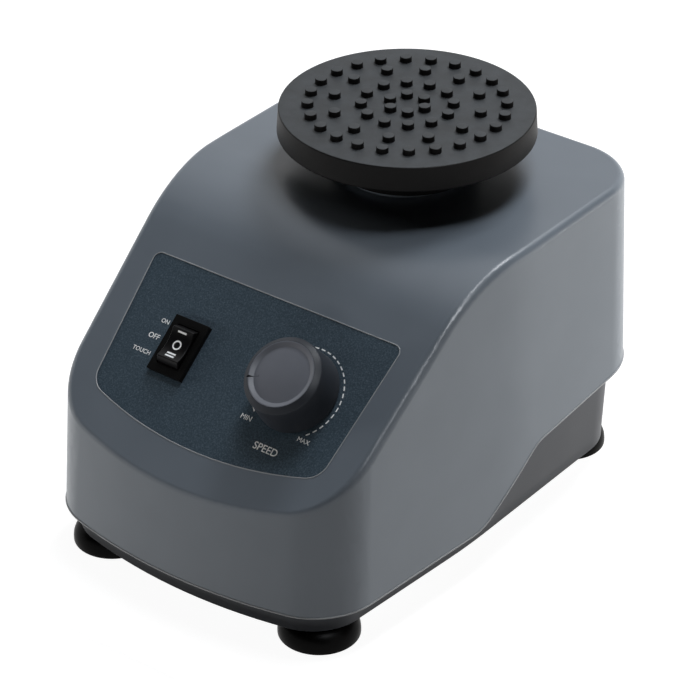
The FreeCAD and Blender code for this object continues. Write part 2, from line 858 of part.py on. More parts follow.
def inlet_cuts():
    half_width = "(inlet_flange_width / 2 + fit_gap)"
    half_height = "(inlet_flange_height / 2 + fit_gap)"
    pocket = block("inlet_pocket",
                   (f"-{half_width}", "pocket_floor", f"inlet_z - {half_height}"),
                   (half_width, "cover_rear + cut_margin", f"inlet_z + {half_height}"))
    opening = block(
        "inlet_opening",
        ("-inlet_body_width / 2 - fit_gap", "inlet_back", "inlet_z - inlet_body_height / 2 - fit_gap"),
        ("inlet_body_width / 2 + fit_gap", "cover_rear", "inlet_z + inlet_body_height / 2 + fit_gap"))
    return pocket, opening


def top_cover():
    outer = cover_solid("cover_outer", "0", "cover_bottom")
    round_edges(outer, "cover_outer_edge", "edge_radius", is_upper_rim)
    doc.recompute()
    hollow = cover_solid("cover_hollow", "cover_wall", "cover_bottom - cut_margin")
    shell = trim("cover_shell", outer, hollow, skirt_cutter())
    columns, bores = cover_columns()
    collar = rod("collar_outer", "collar_bore + 2 * collar_wall", "collar_height + cover_wall / 2",
                 ("0", "motor_y", "cover_top - cover_wall / 2"))
    ribbed = join("cover_ribbed", shell, collar, inlet_pad(), *columns)
    opening = rod("collar_opening", "collar_bore", "collar_height + cover_wall + 2 * cut_margin",
                  ("0", "motor_y", "cover_top - cover_wall - cut_margin"))
    recess = label_body("label_recess_cutter", "0", "label_recess + cut_margin")
    cuts = [opening, recess, *panel_holes("cover_hole"), *inlet_cuts(), *bores]
    return node(trim("cover", ribbed, *cuts), "top_cover")


# Base tub

def tub_section(level, inset):
    """The tub's sides and rear lean in towards the floor, and its front runs along the cover's front."""
    lean = f"((tub_top - ({level})) * tan(tub_draft))"
    clearance = f"cover_wall + tub_gap + ({inset})"
    corners, _ = cover_section("tub_top", f"{clearance} + {lean}")
    _, front = cover_section(level, clearance)
    half_width = corners[0][0]
    narrowed = f"{half_width} - tan(side_taper) * (tub_taper_start + {front})"
    return (corners[0], (half_width, "tub_taper_start"), (narrowed, f"-({front})")), front


def tub_solid(name, inset, bottom, top):
    sections = []
    for level in (bottom, top):
        corners, front = tub_section(level, inset)
        sections.append((level, corners, front))
    return lofted(name, sections, f"cover_wall + tub_gap + ({inset})")


def foot_places():
    for end, y in (("front", "foot_front_y"), ("rear", "foot_rear_y")):
        for side, sign in SIDES:
            yield f"foot_{end}_{side}", f"{sign} * foot_x", y


def board_fixings():
    for end, way in (("front", -1), ("rear", 1)):
        for side, sign in SIDES:
            x = f"{sign} * (board_width / 2 - board_fixing_inset)"
            y = f"board_y + {way} * (board_depth / 2 - board_fixing_inset)"
            yield f"board_{end}_{side}", x, y


def post_places():
    for end, way in (("front", -1), ("rear", 1)):
        for side, sign in SIDES:
            yield f"post_{end}_{side}", f"{sign} * post_x", f"motor_y + {way} * post_y"


def tub_bosses():
    """Everything that stands on the floor of the tub, with the bores that go into it."""
    bosses = []
    bores = []
    foot_boss_height = "foot_screw_length"
    for name, x, y in foot_places():
        at = (x, y, "tub_bottom")
        bosses.append(rod(name + "_boss", "3 * foot_screw_diameter", foot_boss_height, at))
        bores.append(rod(name + "_bore", "foot_screw_diameter + 2 * fit_gap",
                         "foot_screw_length - tub_floor / 2", (x, y, "tub_bottom - fit_gap")))
    for name, x, y in board_fixings():
        bosses.append(rod(name + "_boss", "standoff_post_diameter", "board_level - tub_bottom",
                          (x, y, "tub_bottom")))
        bores.append(rod(name + "_bore", "screw_diameter + 2 * fit_gap", "screw_length",
                         (x, y, "board_top - screw_length")))
    for name, x, y in post_places():
        bosses.append(rod(name + "_boss", "post_boss_diameter", "post_boss_top - tub_bottom",
                          (x, y, "tub_bottom")))
        bores.append(rod(name + "_bore", "post_diameter + 2 * fit_gap", "post_seat + cut_margin",
                         (x, y, "post_boss_top - post_seat")))
    for end, x, y, tapered in FIXINGS:
        for side, sign in SIDES:
            name = f"fixing_{end}_{side}"
            at = (f"{sign} * {x}", y, "tub_bottom")
            bosses.append(rod(name + "_boss", "fixing_boss_diameter", "fixing_level - tub_bottom", at))
            bores.append(rod(name + "_bore", "fixing_screw_diameter + 2 * fit_gap",
                             "fixing_level - tub_bottom + cut_margin", at))
            bores.append(rod(name + "_head_bore", "fixing_head_diameter + 2 * seat_gap",
                             "fixing_head_seat + cut_margin", (at[0], y, "tub_bottom - cut_margin")))
    return bosses, bores


def base_tub():
    outer = tub_solid("tub_outer", "0", "tub_bottom", "tub_top")
    hollow = tub_solid("tub_hollow", "tub_wall", "floor_top", "tub_top + seat_gap")
    shell = trim("tub_shell", outer, hollow)
    bosses, bores = tub_bosses()
    filled = join("tub_filled", shell, *bosses)
    return node(trim("tub", filled, *bores), "base_tub")


# Feet and fixings of the housing

def suction_feet():
    """Dome-shaped rubber feet, each with a hollow cup on the bench."""
    rim = "foot_diameter / 2"
    bore = "foot_screw_diameter / 2 + fit_gap"
    corners = (
        (bore, "tub_bottom"),
        (bore, "foot_cup_depth"),
        ("foot_crown_diameter / 2", "foot_cup_depth"),
        (f"{rim} - foot_lip", "0"),
        (rim, "0"),
        (rim, "tub_bottom"),
    )
    rim_x = value(rim)
    rim_z = value("tub_bottom")

    def at_shoulder(edge, faces):
        spot = middle_of(edge)
        across = (spot.x ** 2 + spot.y ** 2) ** 0.5
        return abs(across - rim_x) + abs(spot.z - rim_z) < 0.01

    for name, x, y in foot_places():
        foot = turned(name, corners, ("0", "0", "0"))
        round_edges(foot, name + "_dome", "foot_shoulder", at_shoulder)
        node(place(foot, (x, y, "0")), name)


def screw(name, diameter, length, head_diameter, head_height, at, turn=UPRIGHT):
    """A plain screw: the head's seat is at the given place and the shank goes up from it."""
    corners = (
        ("0", f"-({head_height})"),
        (f"({head_diameter}) / 2", f"-({head_height})"),
        (f"({head_diameter}) / 2", "0"),
        (f"({diameter}) / 2", "0"),
        (f"({diameter}) / 2", length),
        ("0", length),
    )
    return turned(name, corners, at, turn)


HEAD_UP = ("1; 0; 0", "180")


def small_screw(name, x, y, seat):
    """A machine screw standing head up, with its head's seat at a level."""
    return screw(name, "screw_diameter", "screw_length", "screw_head_diameter", "screw_head_height",
                 (x, y, seat), HEAD_UP)


def housing_screws():
    in_boss = "foot_screw_length - tub_floor / 2 - 2 * fit_gap"
    foot_shank = f"tub_bottom - foot_cup_depth + {in_boss}"
    feet = []
    for name, x, y in foot_places():
        feet.append(screw(name + "_screw", "foot_screw_diameter", foot_shank,
                          "2 * foot_screw_diameter", "foot_cup_depth / 2", (x, y, "foot_cup_depth")))
    node(group("foot_screw_set", feet), "foot_screws")
    fixings = []
    for end, x, y, tapered in FIXINGS:
        for side, sign in SIDES:
            at = (f"{sign} * {x}", y, "fixing_seat")
            fixings.append(screw(f"fixing_{end}_{side}_screw", "fixing_screw_diameter", "fixing_screw_length",
                                 "fixing_head_diameter", "fixing_head_height", at))
    node(group("cover_screw_set", fixings), "cover_screws")


# Panel: label, rocker switch, speed control

def panel_label():
    plate = label_body("label_plate", "label_gap", "label_thickness")
    return node(trim("label", plate, *panel_holes("label_hole")), "panel_label")


def rocker_switch():
    lip = "label_top"
    bezel = padded("switch_bezel", rectangle("bezel_width", "bezel_length"), "bezel_height",
                   ("switch_x", "-switch_s", lip), on_panel=True)
    half_width = "switch_body_width / 2"
    half_length = "switch_body_length / 2"
    case_back = f"{lip} - switch_depth"
    case = block("switch_case",
                 (f"switch_x - {half_width}", f"-switch_s - {half_length}", case_back),
                 (f"switch_x + {half_width}", f"-switch_s + {half_length}", lip), on_panel=True)
    whole = join("switch_whole", bezel, case)

    def crossways(name, diameter, length, level=None):
        start = (f"switch_x - ({length}) / 2", "-switch_s", level or "-rocker_pivot_depth")
        return rod(name, diameter, length, start, ALONG_X, on_panel=True)

    well = crossways("switch_well", "2 * well_radius", "well_width")
    pin_length = "well_width + switch_wall"
    pin_bore = crossways("switch_pin_bore", "rocker_pin_diameter + 2 * fit_gap",
                         f"{pin_length} + 4 * fit_gap")
    node(trim("switch", whole, well, pin_bore), "switch_body")

    drum = crossways("rocker_drum", "2 * rocker_radius", "rocker_width")
    keel = "-rocker_pivot_depth - rocker_keel"
    bounds = block("rocker_bounds",
                   ("switch_x - rocker_width / 2", "-switch_s - rocker_radius", keel),
                   ("switch_x + rocker_width / 2", "-switch_s + rocker_radius", "rocker_end_height"),
                   on_panel=True)
    sector = keep_common("rocker_sector", drum, bounds)
    chord = "(rocker_radius ^ 2 - (rocker_end_height + rocker_pivot_depth) ^ 2)"
    dish_radius = f"(({chord} + rocker_dish ^ 2) / (2 * rocker_dish))"
    dish = crossways("rocker_dish_cutter", f"2 * {dish_radius}", "rocker_width + 2 * cut_margin",
                     f"rocker_end_height - rocker_dish + {dish_radius}")
    dished = trim("rocker_dished", sector, dish)
    pin = crossways("rocker_pin", "rocker_pin_diameter", pin_length)
    node(join("rocker_whole", dished, pin), "rocker")

    tabs = []
    half_width = "terminal_width / 2"
    half_thickness = "terminal_thickness / 2"
    tab_end = f"{case_back} - terminal_length"
    for row in (-1, 0, 1):
        for column in (-1, 1):
            x = f"switch_x + {column} * terminal_column / 2"
            y = f"-switch_s + {row} * terminal_pitch"
            tabs.append(block(f"switch_tab_{row + 1}_{column + 1}",
                              (f"{x} - {half_width}", f"{y} - {half_thickness}", tab_end),
                              (f"{x} + {half_width}", f"{y} + {half_thickness}", case_back), on_panel=True))
    node(group("switch_tabs", tabs), "switch_terminals")


def speed_control():
    at = ("knob_x", "-knob_s", "0")
    behind = "-cover_wall"
    bore = "pot_shaft_diameter / 2 + fit_gap"
    bush = "pot_bush_diameter / 2"
    case = "pot_diameter / 2"
    pot = (
        (bore, f"{behind} - pot_depth + cover_wall"),
        (bore, "pot_bush_height"),
        (bush, "pot_bush_height"),
        (bush, behind),
        (case, behind),
        (case, f"{behind} - pot_depth"),
        ("0", f"{behind} - pot_depth"),
        ("0", f"{behind} - pot_depth + cover_wall"),
    )
    node(turned("pot", pot, at, on_panel=True), "pot_body")
    washer_top = "label_top + pot_washer_thickness"
    washer = (
        ("pot_bush_diameter / 2 + fit_gap", "label_top"),
        ("pot_washer_diameter / 2", "label_top"),
        ("pot_washer_diameter / 2", washer_top),
        ("pot_bush_diameter / 2 + fit_gap", washer_top),
    )
    node(turned("washer", washer, at, on_panel=True), "pot_washer")
    hexagon = []
    nut_radius = "pot_nut_width / sqrt(3)"
    for angle in range(0, 360, 60):
        hexagon.append((f"{nut_radius} * cos({angle})", f"{nut_radius} * sin({angle})"))
    blank = padded("nut_blank", hexagon, "pot_nut_height", ("knob_x", "-knob_s", washer_top), on_panel=True)
    thread = rod("nut_bore", "pot_bush_diameter + 2 * fit_gap", "pot_nut_height + 2 * cut_margin",
                 ("knob_x", "-knob_s", f"{washer_top} - cut_margin"), on_panel=True)
    node(trim("nut", blank, thread), "pot_nut")
    shaft_foot = f"{behind} - pot_depth + cover_wall + seat_gap"
    node(rod("shaft_of_pot", "pot_shaft_diameter", f"pot_shaft_height - ({shaft_foot})",
             ("knob_x", "-knob_s", shaft_foot), on_panel=True), "pot_shaft")

    socket = "pot_shaft_diameter / 2 + fit_gap"
    profile = (
        (socket, "pot_bush_height + seat_gap * 2"),
        ("knob_hollow_diameter / 2", "knob_hollow_height"),
        ("knob_hollow_diameter / 2", "knob_clearance"),
        ("knob_base_diameter / 2", "knob_clearance"),
        ("knob_rim_diameter / 2", "knob_rim_height"),
        ("knob_ring_diameter / 2", "knob_height"),
        ("knob_ring_diameter / 2 - knob_dish_depth", "knob_height"),
        ("knob_dish_diameter / 2", "knob_height - knob_dish_depth"),
        ("0", "knob_height - knob_dish_depth * 1.4"),
        ("0", "pot_shaft_height + fit_gap"),
        (socket, "pot_shaft_height + fit_gap"),
    )
    blank = turned("knob_blank", profile, at, on_panel=True)
    outer = "knob_rim_diameter / 2 + knob_notch_width"
    notch = padded("knob_notch", (
        (f"{outer} - knob_notch_length - knob_notch_width", "0"),
        (outer, "-knob_notch_width"),
        (outer, "knob_notch_width"),
    ), "knob_height", ("knob_x", "-knob_s", "knob_rim_height - knob_notch_width / 2"),
        ("0; 0; 1", "knob_pointer_angle"), on_panel=True)
    node(trim("knob_whole", blank, notch), "knob")


# Platform and head

def platform():
    body = new_body("platform_body")
    radius = "platform_diameter / 2"
    recess = "spigot_diameter / 2 + fit_gap"
    corners = (
        ("0", "spigot_height + fit_gap"),
        (recess, "spigot_height + fit_gap"),
        (recess, "0"),
        (f"{radius} - platform_edge", "0"),
        (radius, "platform_edge"),
        (radius, "platform_thickness - platform_edge"),
        (f"{radius} - platform_edge", "platform_thickness"),
        ("0", "platform_thickness"),
    )
    sketch = outline(body, "platform_profile", "XZ_Plane", corners)
    disc = body.newObject("PartDesign::Revolution", "platform_turn")
    disc.Profile = sketch
    disc.ReferenceAxis = (sketch, ["V_Axis"])
    disc.Angle = 360
    doc.recompute()
    axis = [item for item in body.Origin.OriginFeatures if item.Role == "Z_Axis"][0]
    for ring, angle, turned_by in PEG_RINGS:
        bearing = f"(peg_bearing - 90 + {turned_by})"
        spot = circle(body, ring + "_spot", f"{ring} * cos({bearing})", f"{ring} * sin({bearing})",
                      "peg_diameter", "platform_thickness")
        peg = pad(body, spot, ring + "_peg", "peg_height")
        doc.recompute()
        ring_of_pegs = body.newObject("PartDesign::PolarPattern", ring + "_pattern")
        ring_of_pegs.Originals = [peg]
        ring_of_pegs.Axis = (axis, [""])
        ring_of_pegs.Angle = 360
        ring_of_pegs.setExpression("Occurrences", bound(f"round(360 / {angle})"))
        body.Tip = ring_of_pegs
        doc.recompute()
    place(body, ("0", "head_y", "platform_bottom"))
    return node(body, "platform")


def guide_pin_places(centre_y):
    for index in range(3):
        angle = 90 + 120 * index
        yield index, f"guide_pin_circle * cos({angle})", f"{centre_y} + guide_pin_circle * sin({angle})"


def head():
    bore = "head_bearing_diameter / 2"
    hub = "head_hub_diameter / 2"
    skirt = "head_diameter / 2"
    groove_top = "bearing_seat_bottom - fit_gap"
    groove_bottom = f"{groove_top} - clip_thickness - 2 * fit_gap"
    skirt_bottom = "platform_bottom - skirt_depth"
    profile = (
        ("0", "head_web_bottom"),
        (bore, "head_web_bottom"),
        (bore, groove_top),
        (f"{bore} + clip_reach / 2", groove_top),
        (f"{bore} + clip_reach / 2", groove_bottom),
        (bore, groove_bottom),
        (bore, "head_hub_bottom"),
        (hub, "head_hub_bottom"),
        (hub, "head_web_bottom"),
        (f"{skirt} - skirt_wall", "head_web_bottom"),
        (f"{skirt} - skirt_wall", skirt_bottom),
        (skirt, skirt_bottom),
        (skirt, "platform_bottom"),
        ("spigot_diameter / 2", "platform_bottom"),
        ("spigot_diameter / 2", "platform_bottom + spigot_height"),
        ("0", "platform_bottom + spigot_height"),
    )
    blank = turned("head_blank", profile, ("0", "head_y", "0"))
    pins = []
    sockets = []
    pin_top = "head_web_bottom + guide_pin_seat"
    pin_length = f"{pin_top} - ring_level + seat_gap - fit_gap"
    for index, x, y in guide_pin_places("head_y"):
        sockets.append(rod(f"guide_pin_socket_{index}", "guide_pin_diameter + 2 * fit_gap",
                           "guide_pin_seat + cut_margin", (x, y, "head_web_bottom - cut_margin")))
        pins.append(rod(f"guide_pin_{index}", "guide_pin_diameter", pin_length,
                        (x, y, "ring_level - seat_gap")))
    node(trim("holder", blank, *sockets), "head_holder")
    node(group("guide_pin_set", pins), "guide_pins")

    bearing = (
        ("crank_pin_diameter / 2 + fit_gap", "bearing_seat_bottom"),
        (f"{bore} - fit_gap", "bearing_seat_bottom"),
        (f"{bore} - fit_gap", "bearing_seat_top"),
        ("crank_pin_diameter / 2 + fit_gap", "bearing_seat_top"),
    )
    node(turned("bearing_of_head", bearing, ("0", "head_y", "0")), "head_bearing")
    circlip = (
        (f"{bore} - clip_reach", f"{groove_bottom} + fit_gap"),
        (f"{bore} + clip_reach / 2 - fit_gap", f"{groove_bottom} + fit_gap"),
        (f"{bore} + clip_reach / 2 - fit_gap", f"{groove_top} - fit_gap"),
        (f"{bore} - clip_reach", f"{groove_top} - fit_gap"),
    )
    node(turned("circlip_of_head", circlip, ("0", "head_y", "0")), "bearing_circlip")


# Crank

def crank():
    on_motor = ("0", "motor_y", "0")
    on_head = ("0", "head_y", "0")
    shaft = "shaft_diameter / 2"
    shaft_foot = ("0", "motor_y", "shaft_bottom")
    node(rod("shaft_of_motor", "shaft_diameter", "shaft_top - shaft_bottom", shaft_foot), "motor_shaft")
    rotor = (
        (f"{shaft} + fit_gap", "motor_middle - rotor_length / 2"),
        ("stator_bore / 2 - air_gap", "motor_middle - rotor_length / 2"),
        ("stator_bore / 2 - air_gap", "motor_middle + rotor_length / 2"),
        (f"{shaft} + fit_gap", "motor_middle + rotor_length / 2"),
    )
    node(turned("rotor", rotor, on_motor), "rotor_core")

    blank = rod("hub_blank", "hub_diameter", "hub_top - hub_bottom", ("0", "motor_y", "hub_bottom"))
    shaft_bore = rod("hub_shaft_bore", "shaft_diameter + 2 * fit_gap",
                     "shaft_top - hub_bottom + cut_margin + fit_gap",
                     ("0", "motor_y", "hub_bottom - cut_margin"))
    pin_bore = rod("hub_pin_bore", "crank_pin_diameter + 2 * fit_gap", "crank_pin_seat + cut_margin",
                   ("0", "head_y", "hub_top - crank_pin_seat"))
    screw_level = "hub_bottom + counterweight_height / 2 + seat_gap * 4"
    screw_bore = rod("hub_screw_bore", "set_screw_diameter + 2 * fit_gap", "hub_diameter",
                     ("0", "motor_y", screw_level), ALONG_Y)
    node(trim("hub", blank, shaft_bore, pin_bore, screw_bore), "eccentric_hub")
    set_screw_start = f"motor_y + {shaft} + fit_gap"
    node(rod("grub_screw", "set_screw_diameter", f"hub_diameter / 2 - {shaft} - 2 * fit_gap",
             ("0", set_screw_start, screw_level), ALONG_Y), "hub_set_screw")

    weight_bottom = "hub_bottom + seat_gap * 4"
    full = turned("weight_ring", (
        ("hub_diameter / 2 + fit_gap", weight_bottom),
        ("counterweight_diameter / 2", weight_bottom),
        ("counterweight_diameter / 2", f"{weight_bottom} + counterweight_height"),
        ("hub_diameter / 2 + fit_gap", f"{weight_bottom} + counterweight_height"),
    ), on_motor)
    rear_half = block("weight_rear_half",
                      ("-counterweight_diameter", "motor_y", f"{weight_bottom} - cut_margin"),
                      ("counterweight_diameter", "motor_y + counterweight_diameter",
                       f"{weight_bottom} + counterweight_height + cut_margin"))
    node(trim("weight", full, rear_half), "counterweight")

    pin = "crank_pin_diameter / 2"
    shoulder_top = "bearing_seat_bottom - seat_gap"
    clip_bottom = "bearing_seat_top + seat_gap"
    pin_top = f"{clip_bottom} + clip_thickness"
    profile = (
        ("0", "hub_top - crank_pin_seat + fit_gap"),
        (pin, "hub_top - crank_pin_seat + fit_gap"),
        (pin, "hub_top"),
        ("crank_shoulder_diameter / 2", "hub_top"),
        ("crank_shoulder_diameter / 2", shoulder_top),
        (pin, shoulder_top),
        (pin, clip_bottom),
        (f"{pin} - clip_reach / 2", clip_bottom),
        (f"{pin} - clip_reach / 2", pin_top),
        ("0", pin_top),
    )
    node(turned("pin_of_crank", profile, on_head), "crank_pin")
    clip = (
        (f"{pin} - clip_reach / 2 + fit_gap", clip_bottom),
        (f"{pin} + clip_reach", clip_bottom),
        (f"{pin} + clip_reach", pin_top),
        (f"{pin} - clip_reach / 2 + fit_gap", pin_top),
    )
    node(turned("clip_of_pin", clip, on_head), "pin_clip")


# Motor carriage

def motor_plate():
    body = padded("plate_blank", rectangle("plate_width", "plate_depth"), "plate_thickness",
                  ("0", "motor_y", "plate_level"))
    round_edges(body, "plate_corners", "plate_corner", is_upright)
    holes = [rod("plate_shaft_hole", "hub_diameter", "plate_thickness + 2 * cut_margin",
                 ("0", "motor_y", "plate_level - cut_margin"))]
    through = "plate_thickness + 2 * cut_margin"
    for name, x, y in post_places():
        holes.append(rod(name + "_plate_hole", "bush_diameter + 2 * fit_gap", through,
                         (x, y, "plate_level - cut_margin")))
    for name, x, y in motor_screw_places():
        holes.append(rod(name + "_plate_hole", "screw_diameter + 2 * fit_gap", through,
                         (x, y, "plate_level - cut_margin")))
    return node(trim("plate", body, *holes), "motor_plate")


def motor_screw_places():
    for index in range(4):
        angle = 90 * index
        x = f"motor_screw_circle * cos({angle})"
        y = f"motor_y + motor_screw_circle * sin({angle})"
        yield f"motor_screw_{index}", x, y


def standoff_places():
    for end, way in (("front", -1), ("rear", 1)):
        for side, sign in SIDES:
            yield f"standoff_{end}_{side}", f"{sign} * standoff_x", f"motor_y + {way} * standoff_y"


def motor():
    on_motor = ("0", "motor_y", "0")
    outer = "motor_diameter / 2"
    inner = "can_bore / 2"
    can = ((inner, "can_bottom"), (outer, "can_bottom"), (outer, "can_top"), (inner, "can_top"))
    node(turned("can", can, on_motor), "motor_can")

    bearing = "bearing_diameter / 2"
    hub = "bell_hub_diameter / 2"
    clear = "shaft_diameter / 2 + seat_gap * 2"
    ends = (("upper", "can_top", "plate_level", 1), ("lower", "can_bottom", "motor_bottom", -1))
    for name, face, back, way in ends:
        nose = f"{face} - {way} * bell_hub_depth"
        seat = f"{nose} + {way} * bearing_width"
        profile = (
            (clear, back),
            (outer, back),
            (outer, face),
            (hub, face),
            (hub, nose),
            (bearing, nose),
            (bearing, seat),
            (clear, seat),
        )
        bell = turned(f"{name}_bell", profile, on_motor)
        if name == "upper":
            threads = []
            for screw_name, x, y in motor_screw_places():
                threads.append(rod(screw_name + "_thread", "screw_diameter + 2 * fit_gap", "screw_length",
                                   (x, y, "plate_top - screw_length - fit_gap")))
            bell = trim("upper_bell_tapped", bell, *threads)
        node(bell, f"{name}_end_bell")
        ring = (
            ("shaft_diameter / 2 + fit_gap", nose),
            (f"{bearing} - fit_gap", nose),
            (f"{bearing} - fit_gap", seat),
            ("shaft_diameter / 2 + fit_gap", seat),
        )
        node(turned(f"{name}_bearing_ring", ring, on_motor), f"{name}_bearing")

    core_low = "motor_middle - stator_length / 2"
    core_high = "motor_middle + stator_length / 2"
    core = (
        ("stator_bore / 2", core_low),
        (f"{inner} - fit_gap", core_low),
        (f"{inner} - fit_gap", core_high),
        ("stator_bore / 2", core_high),
    )
    node(turned("stator", core, on_motor), "stator_core")
    windings = []
    inside = f"{inner} - fit_gap - winding_wall"
    outside = f"{inner} - 4 * fit_gap"
    for name, start, end in (("low", f"{core_low} - winding_overhang", core_low),
                             ("high", core_high, f"{core_high} + winding_overhang")):
        ring = ((inside, start), (outside, start), (outside, end), (inside, end))
        windings.append(turned(f"winding_{name}", ring, on_motor))
    node(group("winding_set", windings), "stator_windings")
    screws = []
    for name, x, y in motor_screw_places():
        screws.append(small_screw(name, x, y, "plate_top"))
    node(group("motor_screw_set", screws), "motor_screws")


def slide_guides():
    """Guide posts in the tub, with bushes in the plate, springs below it and clips above it."""
    posts = []
    bushes = []
    clips = []
    springs = []
    post = "post_diameter / 2"
    groove = f"{post} - clip_reach / 2"
    post_profile = (
        ("0", "post_boss_top - post_seat + fit_gap"),
        (post, "post_boss_top - post_seat + fit_gap"),
        (post, "post_groove"),
        (groove, "post_groove"),
        (groove, "post_groove + clip_thickness"),
        (post, "post_groove + clip_thickness"),
        (post, "post_top"),
        ("0", "post_top"),
    )
    slide = f"{post} + fit_gap"
    bush_profile = (
        (slide, "bush_bottom"),
        ("bush_flange_diameter / 2", "bush_bottom"),
        ("bush_flange_diameter / 2", "plate_level"),
        ("bush_diameter / 2", "plate_level"),
        ("bush_diameter / 2", "bush_top"),
        (slide, "bush_top"),
    )
    clip_profile = (
        (f"{groove} + fit_gap", "post_groove + fit_gap"),
        (f"{post} + clip_reach", "post_groove + fit_gap"),
        (f"{post} + clip_reach", "post_groove + clip_thickness - fit_gap"),
        (f"{groove} + fit_gap", "post_groove + clip_thickness - fit_gap"),
    )
    for name, x, y in post_places():
        at = (x, y, "0")
        posts.append(turned(name, post_profile, at))
        bushes.append(turned(name + "_bush", bush_profile, at))
        clips.append(turned(name + "_clip", clip_profile, at))
        springs.append(spring(name + "_spring", x, y, "post_boss_top", "bush_bottom"))
    node(group("post_set", posts), "guide_posts")
    node(group("bush_set", bushes), "slide_bushes")
    node(group("clip_set", clips), "post_clips")
    node(group("spring_set", springs), "lift_springs")


def spring(name, x, y, low, high):
    """A helical spring between two levels, its wire just clear of both seats."""
    free = f"(({high}) - ({low}) - spring_wire - 2 * fit_gap)"
    path = doc.addObject("Part::Helix", name + "_path")
    path.setExpression("Radius", bound("(spring_diameter - spring_wire) / 2"))
    path.setExpression("Height", bound(free))
    path.setExpression("Pitch", bound(f"{free} / spring_turns"))
    start = f"{low} + spring_wire / 2 + fit_gap"
    place(path, (x, y, start))
    section = doc.addObject("Part::Circle", name + "_wire")
    section.setExpression("Radius", bound("spring_wire / 2"))
    place(section, (f"{x} + (spring_diameter - spring_wire) / 2", y, start), ("1; 0; 0", "90"))
    doc.recompute()
    wire = doc.addObject("Part::Sweep", name)
    wire.Sections = [section]
    wire.Spine = (path, [f"Edge{index}" for index, edge in enumerate(path.Shape.Edges, 1)])
    wire.Solid = True
    wire.Frenet = True
    return wire


def guide_ring():
    """Fixed ring whose oversize holes let the head's pins orbit but not the head turn."""
    blank = rod("ring_blank", "ring_diameter", "ring_thickness", ("0", "motor_y", "ring_level"))
    holes = [rod("ring_centre", "ring_bore", "ring_thickness + 2 * cut_margin",
                 ("0", "motor_y", "ring_level - cut_margin"))]
    hole = "guide_pin_diameter + 2 * orbit_radius + 2 * guide_hole_slack"
    for index, x, y in guide_pin_places("motor_y"):
        holes.append(rod(f"ring_hole_{index}", hole, "ring_thickness + 2 * cut_margin",
                         (x, y, "ring_level - cut_margin")))
    standoffs = []
    screws = []
    for name, x, y in standoff_places():
        holes.append(rod(name + "_ring_hole", "screw_diameter + 2 * fit_gap",
                         "ring_thickness + 2 * cut_margin", (x, y, "ring_level - cut_margin")))
        pillar = rod(name + "_pillar", "standoff_diameter", "ring_level - plate_top", (x, y, "plate_top"))
        thread = rod(name + "_thread", "screw_diameter + 2 * fit_gap", "screw_length",
                     (x, y, "ring_top - screw_length - fit_gap"))
        standoffs.append(trim(name, pillar, thread))
        screws.append(small_screw(name + "_screw", x, y, "ring_top"))
    node(trim("ring", blank, *holes), "guide_ring")
    node(group("standoff_set", standoffs), "ring_standoffs")
    node(group("ring_screw_set", screws), "ring_screws")


# Microswitch

def microswitch():
    half = "microswitch_width / 2"
    low_y = "motor_y - microswitch_length / 2"
    high_y = "motor_y + microswitch_length / 2"
    case = block("microswitch_case", (f"microswitch_x - {half}", low_y, "microswitch_bottom"),
                 (f"microswitch_x + {half}", high_y, "microswitch_top"))
    plunger_half = "plunger_width / 2"
    seat = "microswitch_top - microswitch_height / 2"
    bore = block("microswitch_bore",
                 (f"microswitch_x - {plunger_half} - fit_gap", f"motor_y - {plunger_half} - fit_gap", seat),
                 (f"microswitch_x + {plunger_half} + fit_gap", f"motor_y + {plunger_half} + fit_gap",
                  "microswitch_top + cut_margin"))
    node(trim("microswitch", case, bore), "microswitch_body")
    node(block("plunger",
               (f"microswitch_x - {plunger_half}", f"motor_y - {plunger_half}", f"{seat} + plunger_rise"),
               (f"microswitch_x + {plunger_half}", f"motor_y + {plunger_half}", "plate_level - seat_gap")),
         "microswitch_plunger")
    outer = f"microswitch_x - {half} - bracket_thickness"
    wall = block("bracket_wall", (outer, low_y, "floor_top"),
                 (f"microswitch_x - {half}", high_y, "microswitch_top"))
    shelf = block("bracket_shelf", (outer, low_y, "microswitch_bottom - bracket_thickness"),
                  (f"microswitch_x + {half}", high_y, "microswitch_bottom"))
    foot = block("bracket_foot_plate", (outer, low_y, "floor_top"),
                 (f"{outer} + bracket_foot", high_y, "floor_top + bracket_thickness"))
    node(join("bracket", wall, shelf, foot), "microswitch_bracket")


# Control board

